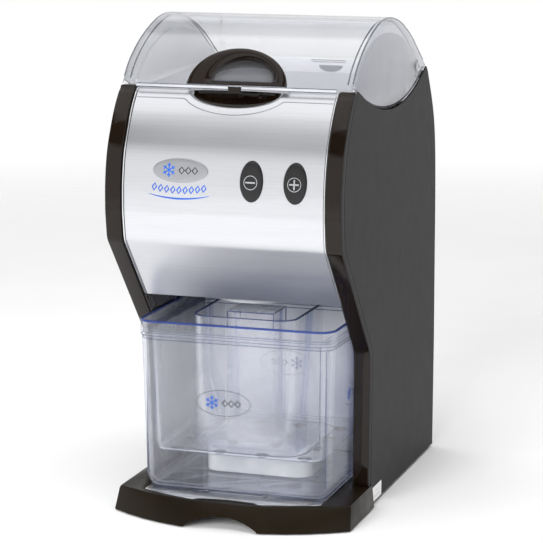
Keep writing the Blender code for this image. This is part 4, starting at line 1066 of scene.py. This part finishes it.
def make_tub():
    """The clear tub: a tapered body, a neck and a wider band with a blue upper edge."""
    wall = 0.002
    half, low, top = TUB_HIGH.x, TUB_LOW.z, TUB_HIGH.z
    band, body, neck = top - 0.0155, half - 0.0048, half - 0.0012

    def ring(half_x, inset_front, inset_back, z, radius):
        return at_height(rounded_box(half_x, TUB_LOW.y + inset_front, TUB_HIGH.y - inset_back,
                                     radius), z)
    outer = [ring(body - 0.0085, 0.012, 0.011, low, 0.01),
             ring(body - 0.0052, 0.0092, 0.0082, low + 0.0008, 0.0115),
             ring(body - 0.0023, 0.0074, 0.0064, low + 0.0028, 0.0125),
             ring(body - 0.0006, 0.0063, 0.0053, low + 0.006, 0.013),
             ring(body, 0.006, 0.005, low + 0.0095, 0.013),
             ring(neck, 0.0017, 0.0013, band - 0.0006, 0.0145),
             ring(neck + 0.0002, 0.0015, 0.0011, band, 0.0147),
             ring(half - 0.0006, 0.0005, 0.0004, band + 0.0003, 0.0157),
             ring(half, 0.0, 0.0, band + 0.0012, 0.016),
             ring(half, 0.0, 0.0, top - 0.0018, 0.016),
             ring(half, 0.0, 0.0, top - 0.0005, 0.016),
             ring(half - 0.0004, 0.0004, 0.0004, top, 0.0156)]
    inner = [ring(half - wall + 0.0004, wall - 0.0004, wall - 0.0004, top, 0.0144),
             ring(half - wall, wall, wall, top - 0.0005, 0.014),
             ring(half - wall, wall, wall, top - 0.0018, 0.014),
             ring(half - wall, wall, wall, band + 0.0032, 0.014),
             ring(neck - wall + 0.0004, 0.0013 + wall, 0.0009 + wall, band + 0.0022, 0.0129),
             ring(neck - wall, 0.0017 + wall, 0.0013 + wall, band + 0.0014, 0.0125),
             ring(body - wall, 0.006 + wall, 0.005 + wall, low + 0.0105, 0.011),
             ring(body - wall - 0.002, 0.0074 + wall, 0.0064 + wall, low + 0.0055, 0.01),
             ring(body - wall - 0.005, 0.0094 + wall, 0.0084 + wall, low + 0.003, 0.009),
             ring(body - wall - 0.0085, 0.012 + wall, 0.011 + wall, low + wall, 0.008)]
    item = lofted("tub_shell", outer + inner, "tub", "clear_tub", angle=50, stands_for="tub",
                  looks=("blue_edge", "clear_side"))
    paint(item, 2, lambda f: abs(f.normal.x) > 0.95)
    paint(item, 1, lambda f: f.center.z > top - 0.002)
    edge_line("tub_band_line", ring(half - 0.0009, 0.0009, 0.0009, band + 0.001, 0.015), 0.0005)
    edge_line("tub_neck_line", ring(neck - 0.0004, 0.0022, 0.0018, band - 0.0022, 0.0145), 0.0005)
    edge_line("tub_shoulder_line", ring(half - wall, wall, wall, band + 0.0036, 0.014), 0.0003)
    edge_line("tub_foot_line", ring(body - 0.004, 0.0086, 0.0076, low + 0.0017, 0.012), 0.0006)
    make_corner_refraction_lines("tub_corner_refraction_lines", body - wall - 0.0012,
                      TUB_LOW.y + 0.006 + wall + 0.0012, low + 0.012, band - 0.004)
    return item


def make_basket():
    """The clear basket: a flared rim, tapered walls and a floor with round holes."""
    wall = 0.0016
    floor, top, half = SCOOP_LOW.z - GAP, BASKET_HIGH.z, BASKET_HIGH.x
    base, shoulder = floor - wall, top - 0.0018

    def ring(half_x, inset, z, radius):
        return at_height(rounded_box(half_x, BASKET_LOW.y + inset, BASKET_HIGH.y - inset, radius,
                                     6), z)
    rings = [ring(half - 0.017, 0.0142, base, 0.01),
             ring(half - 0.0123, 0.0097, base + 0.0018, 0.01),
             ring(half - 0.0093, 0.0067, base + 0.009, 0.01),
             ring(half - 0.0067, 0.0042, shoulder - 0.0006, 0.01),
             ring(half, 0.0, shoulder, 0.0125), ring(half, 0.0, top - 0.0003, 0.0125),
             ring(half - 0.0003, 0.0003, top, 0.0122),
             ring(half - 0.0065 - wall, 0.0042 + wall, top, 0.0085),
             ring(half - 0.0093 - wall, 0.0067 + wall, base + 0.01, 0.0085),
             ring(half - 0.012 - wall, 0.0095 + wall, floor + 0.0012, 0.0085),
             ring(half - 0.017 - wall, 0.0142 + wall, floor, 0.0085)]
    item = lofted("basket_shell", rings, "tub", "clear_tub", stands_for="strainer_basket",
                  looks=("dark_hole",))
    hole, front, along, across = 0.004, -0.1148, 0.0395, 0.041
    holes = [(column * across, front + row * along) for row in range(4)
             for column in (-1.5, -0.5, 0.5, 1.5)]
    cut(item, loft([[circle_at(x, y, z, hole) for z in (base - 0.002, floor + 0.002)]
                    for x, y in holes]))
    paint(item, 1, lambda f: base - 0.0001 < f.center.z < floor + 0.0001
          and abs(f.normal.z) < 0.2 and f.area < 0.00001)
    edge_line("basket_foot_line", ring(half - 0.0116, 0.009, base + 0.0034, 0.01), 0.0005,
              "edge_pale")
    edge_line("basket_rim_line", ring(half - 0.0002, 0.0002, top - 0.0002, 0.0124), 0.0005)
    make_corner_refraction_lines("basket_corner_refraction_lines", half - 0.011, BASKET_LOW.y + 0.008, base + 0.014,
                      shoulder - 0.004)
    make_basket_skirt(base, wall)
    make_floor_marks(floor + 0.0002, holes)


def make_basket_skirt(base, wall):
    """The rounded pedestal the basket stands on."""
    low, high = TUB_LOW.z + 0.0023, base - 0.00005
    half, front, back, corner = 0.052, -0.07, 0.02, 0.015
    rings = [at_height(rounded_box(half - inset, front + inset, back - inset, corner - inset), z)
             for inset, z in ((0.0003, low), (0.0, low + 0.0004), (0.0, high), (wall, high),
                              (wall, low + 0.0003), (wall - 0.0003, low))]
    lofted("basket_skirt", rings, "tub", "milky_tub", "clear_tub", ends=False, angle=50)


def make_floor_marks(level, holes):
    """A raised panel line, a small oval ring and the rims of the holes on the basket's floor."""
    flat = 0.12
    panel = rounded_box(0.0575, -0.117, 0.017, 0.024)
    edge_line("basket_panel_line", at_height(panel, level), 0.0016, "floor_line", flat)
    oval = moved(ellipse(0.022, 0.014), 0, -0.05)
    edge_line("basket_oval_line", at_height(oval, level), 0.0011, "floor_line", flat)
    rims = [circle_at(x, y, level, 0.0052) for x, y in holes]
    rods("basket_hole_rims", rims, 0.0013, "tub", "dark_hole", "clear_tub", closed=True, flat=flat,
         facing=(0, 0, 1))


def make_scoop():
    """The scoop's own shape with softened edges: dark where its walls are seen end on."""
    heights = sorted({round(v.co.z, 5) for v in NODES["ice_scoop"].data.vertices})
    wall_top, grip_top = heights[-2], SCOOP_HIGH.z
    bm = node_copy("ice_scoop")
    bmesh.ops.bevel(bm, geom=[e for e in bm.edges if e.calc_face_angle(0) > 0.5], offset=0.0005,
                    segments=2, affect="EDGES", clamp_overlap=True)
    for level in (wall_top - 0.0011, grip_top - 0.0012):
        bmesh.ops.bisect_plane(bm, geom=bm.verts[:] + bm.edges[:] + bm.faces[:], dist=WELD,
                               plane_co=(0, 0, level), plane_no=(0, 0, 1))
    item = piece("scoop", mesh_from(bm), "ice_scoop", "clear_tub", angle=35,
                 stands_for="ice_scoop", looks=("floor_line", "frosted"))
    for face in item.data.polygons:
        x, _, z = face.center
        on_grip = abs(x) < GRIP_HALF + 0.0001
        at_corner = min(abs(face.normal.x), abs(face.normal.y)) > 0.3
        if on_grip and z > grip_top - 0.0004 and abs(face.normal.z) > 0.8:
            face.material_index = 2
        elif z > (grip_top if on_grip else wall_top) - 0.0012 or on_grip and at_corner:
            face.material_index = 1
    # upright grey lines at the grip's corners: painted dark streaks for the light bent at those rounded corners
    paths = [[(x, y, grip_top - 0.015), (x, y, grip_top - 0.0006)] for x in (-GRIP_HALF, GRIP_HALF)
             for y in (GRIP_FRONT, GRIP_BACK)]
    rods("scoop_corner_refraction_lines", paths, 0.0007, "ice_scoop", "edge_grey", "clear_tub", sides=8)


def make_decals(tub):
    """Thin oval outlines with a snowflake on the tub's front, right side and back."""
    mesh, away = tub.data, 0.05
    tree = BVHTree.FromPolygons([v.co for v in mesh.vertices],
                                [list(p.vertices) for p in mesh.polygons])
    oval = ellipse(0.026, 0.012, 56)
    marks = (("oval", [oval + oval[:1]], 0.0004, "ink_black"),
             ("flake", flake(-0.011, 0.0, 0.0066), 0.001, "ink_blue"),
             ("cubes", diamonds(3, 0.0015, 0.0062, 0.0026, 0.003), 0.0009, "ink_black"))
    for name, origin, across, way in (
            ("front", (-0.01, TUB_LOW.y - away, 0.108), (1, 0, 0), Vector((0, 1, 0))),
            ("right", (TUB_HIGH.x + away, -0.062, 0.111), (0, 1, 0), Vector((-1, 0, 0))),
            ("back", (-0.007, TUB_HIGH.y + away, 0.108), (-1, 0, 0), Vector((0, -1, 0)))):
        def on(u, v):
            start = Vector(origin) + Vector(across) * u + Vector((0, 0, v))
            return tree.ray_cast(start, way)[0] - way * 0.00008
        for label, lines, width, look in marks:
            rods(f"decal_{name}_{label}", laid(lines, on), width / 2, "tub", look, "dark_plastic",
                 facing=-way, flat=0.3)


# ---- carried-over CAD nodes
def dress_cad():
    """Gives every CAD node the detailed material of its slot, or a look of its own."""
    slots = {row["node"]: row["material_slot"] for row in frame["record"]["subparts"]}
    special = {"bay_side_left": "dark_plastic", "bay_side_right": "dark_plastic",
               "bay_back": "bay_white", "outlet_chute": "outlet_grey"}
    for name, node in NODES.items():
        node.data.materials.clear()
        node.data.materials.append(LOOKS[special.get(name, slots[name])])


# ---- stage
def make_stage():
    """A pale floor that fades out into the studio's white."""
    reach, count = 2.6, 26
    bm = bmesh.new()
    loops = new_loops(bm, [circle_at(0, 0, 0, reach * k / count, 64)
                           for k in range(1, count + 1)])
    bridge(bm, loops)
    bm.faces.new(loops[0])
    mesh = mesh_from(bm)
    floor = new_object("floor", mesh)
    tree, shader = new_material("studio_floor")
    tint = ramp(tree, noise(tree, 3.0), (0.83, 0.83, 0.83), (0.85, 0.85, 0.85))
    join_in(tree, shader, Base_Color=tint, Roughness=0.9, Specular_IOR_Level=0.1)
    away = vector_maths(tree, "LENGTH", space(tree)).outputs["Value"]
    fade = span(tree, away, 0.0, 1.0, 0.9, reach - 0.2)
    show(tree, mixed(tree, fade, shader, add(tree, "BsdfTransparent")))
    mesh.materials.append(LOOKS["studio_floor"])


def area_light(name, place, target, size, radiance):
    """A rectangular softbox with a given brightness of its face."""
    light = bpy.data.lights.new(name, "AREA")
    light.shape = "RECTANGLE"
    light.size, light.size_y = size
    light.energy = radiance * math.pi * size[0] * size[1]
    item = new_object(name, light)
    item.location = place
    item.rotation_euler = (Vector(target) - Vector(place)).to_track_quat("-Z", "Y").to_euler()
    return item


def make_studio():
    """The world: plain white to the camera, and STUDIO's bands to everything that reflects it."""
    world = bpy.data.worlds.new("studio")
    world.use_nodes = True
    tree = world.node_tree
    direction = add(tree, "TexCoord").outputs["Generated"]
    height = add(tree, "SeparateXYZ", {"Vector": direction}).outputs["Z"]
    sky = bands(tree, span(tree, height, 0.0, 1.0, -1.0, 1.0),
                [((z + 1) / 2, (value,) * 3) for z, value in STUDIO], "LINEAR")
    studio = tree.nodes["Background"]
    fill_in(tree, studio, {"Color": sky})
    white = add(tree, "Background", {"Color": (1, 1, 1, 1), "Strength": 1.0})
    seen = add(tree, "LightPath").outputs["Is Camera Ray"]
    show(tree, mixed(tree, seen, studio, white), "World Output")
    bpy.context.scene.world = world


def make_lights():
    """A soft light above, and two fills that leave no reflection."""
    area_light("overhead", (0.0, -0.15, 1.7), (0, -0.15, 0.0), (2.0, 2.2), 0.7)
    for fill in (area_light("top_fill", (0.0, -0.15, 1.9), (0, -0.15, 0.0), (2.0, 2.2), 1.1),
                 area_light("front_fill", (-0.45, -3.6, 1.6), (0, 0.0, 0.12), (2.0, 1.6), 13.5)):
        fill.visible_glossy = False


def make_camera():
    scene = bpy.context.scene
    camera = bpy.data.cameras.new("camera")
    camera.sensor_width, camera.lens = SENSOR_MM, LENS_MM
    item = new_object("camera", camera)
    matrix = Matrix(CAMERA_AXES).transposed().to_4x4()
    matrix.translation = CAMERA_PLACE
    item.matrix_world = matrix
    scene.camera = item
    scene.view_settings.view_transform = "Standard"
    scene.cycles.transparent_max_bounces = 40


make_plastics()
make_metals()
make_clear_looks()
dress_cad()
make_pillars()
make_front_panel()
make_recess_lip()
make_trim()
make_buttons()
make_skins()
make_badge()
make_swoosh()
make_label()
make_lid()
make_lid_shade_strips()
make_handle()
make_screws()
make_hopper()
make_hopper_back()
TUB_SHELL = make_tub()
make_basket()
make_scoop()
make_decals(TUB_SHELL)
make_stage()
make_studio()
make_lights()
make_camera()
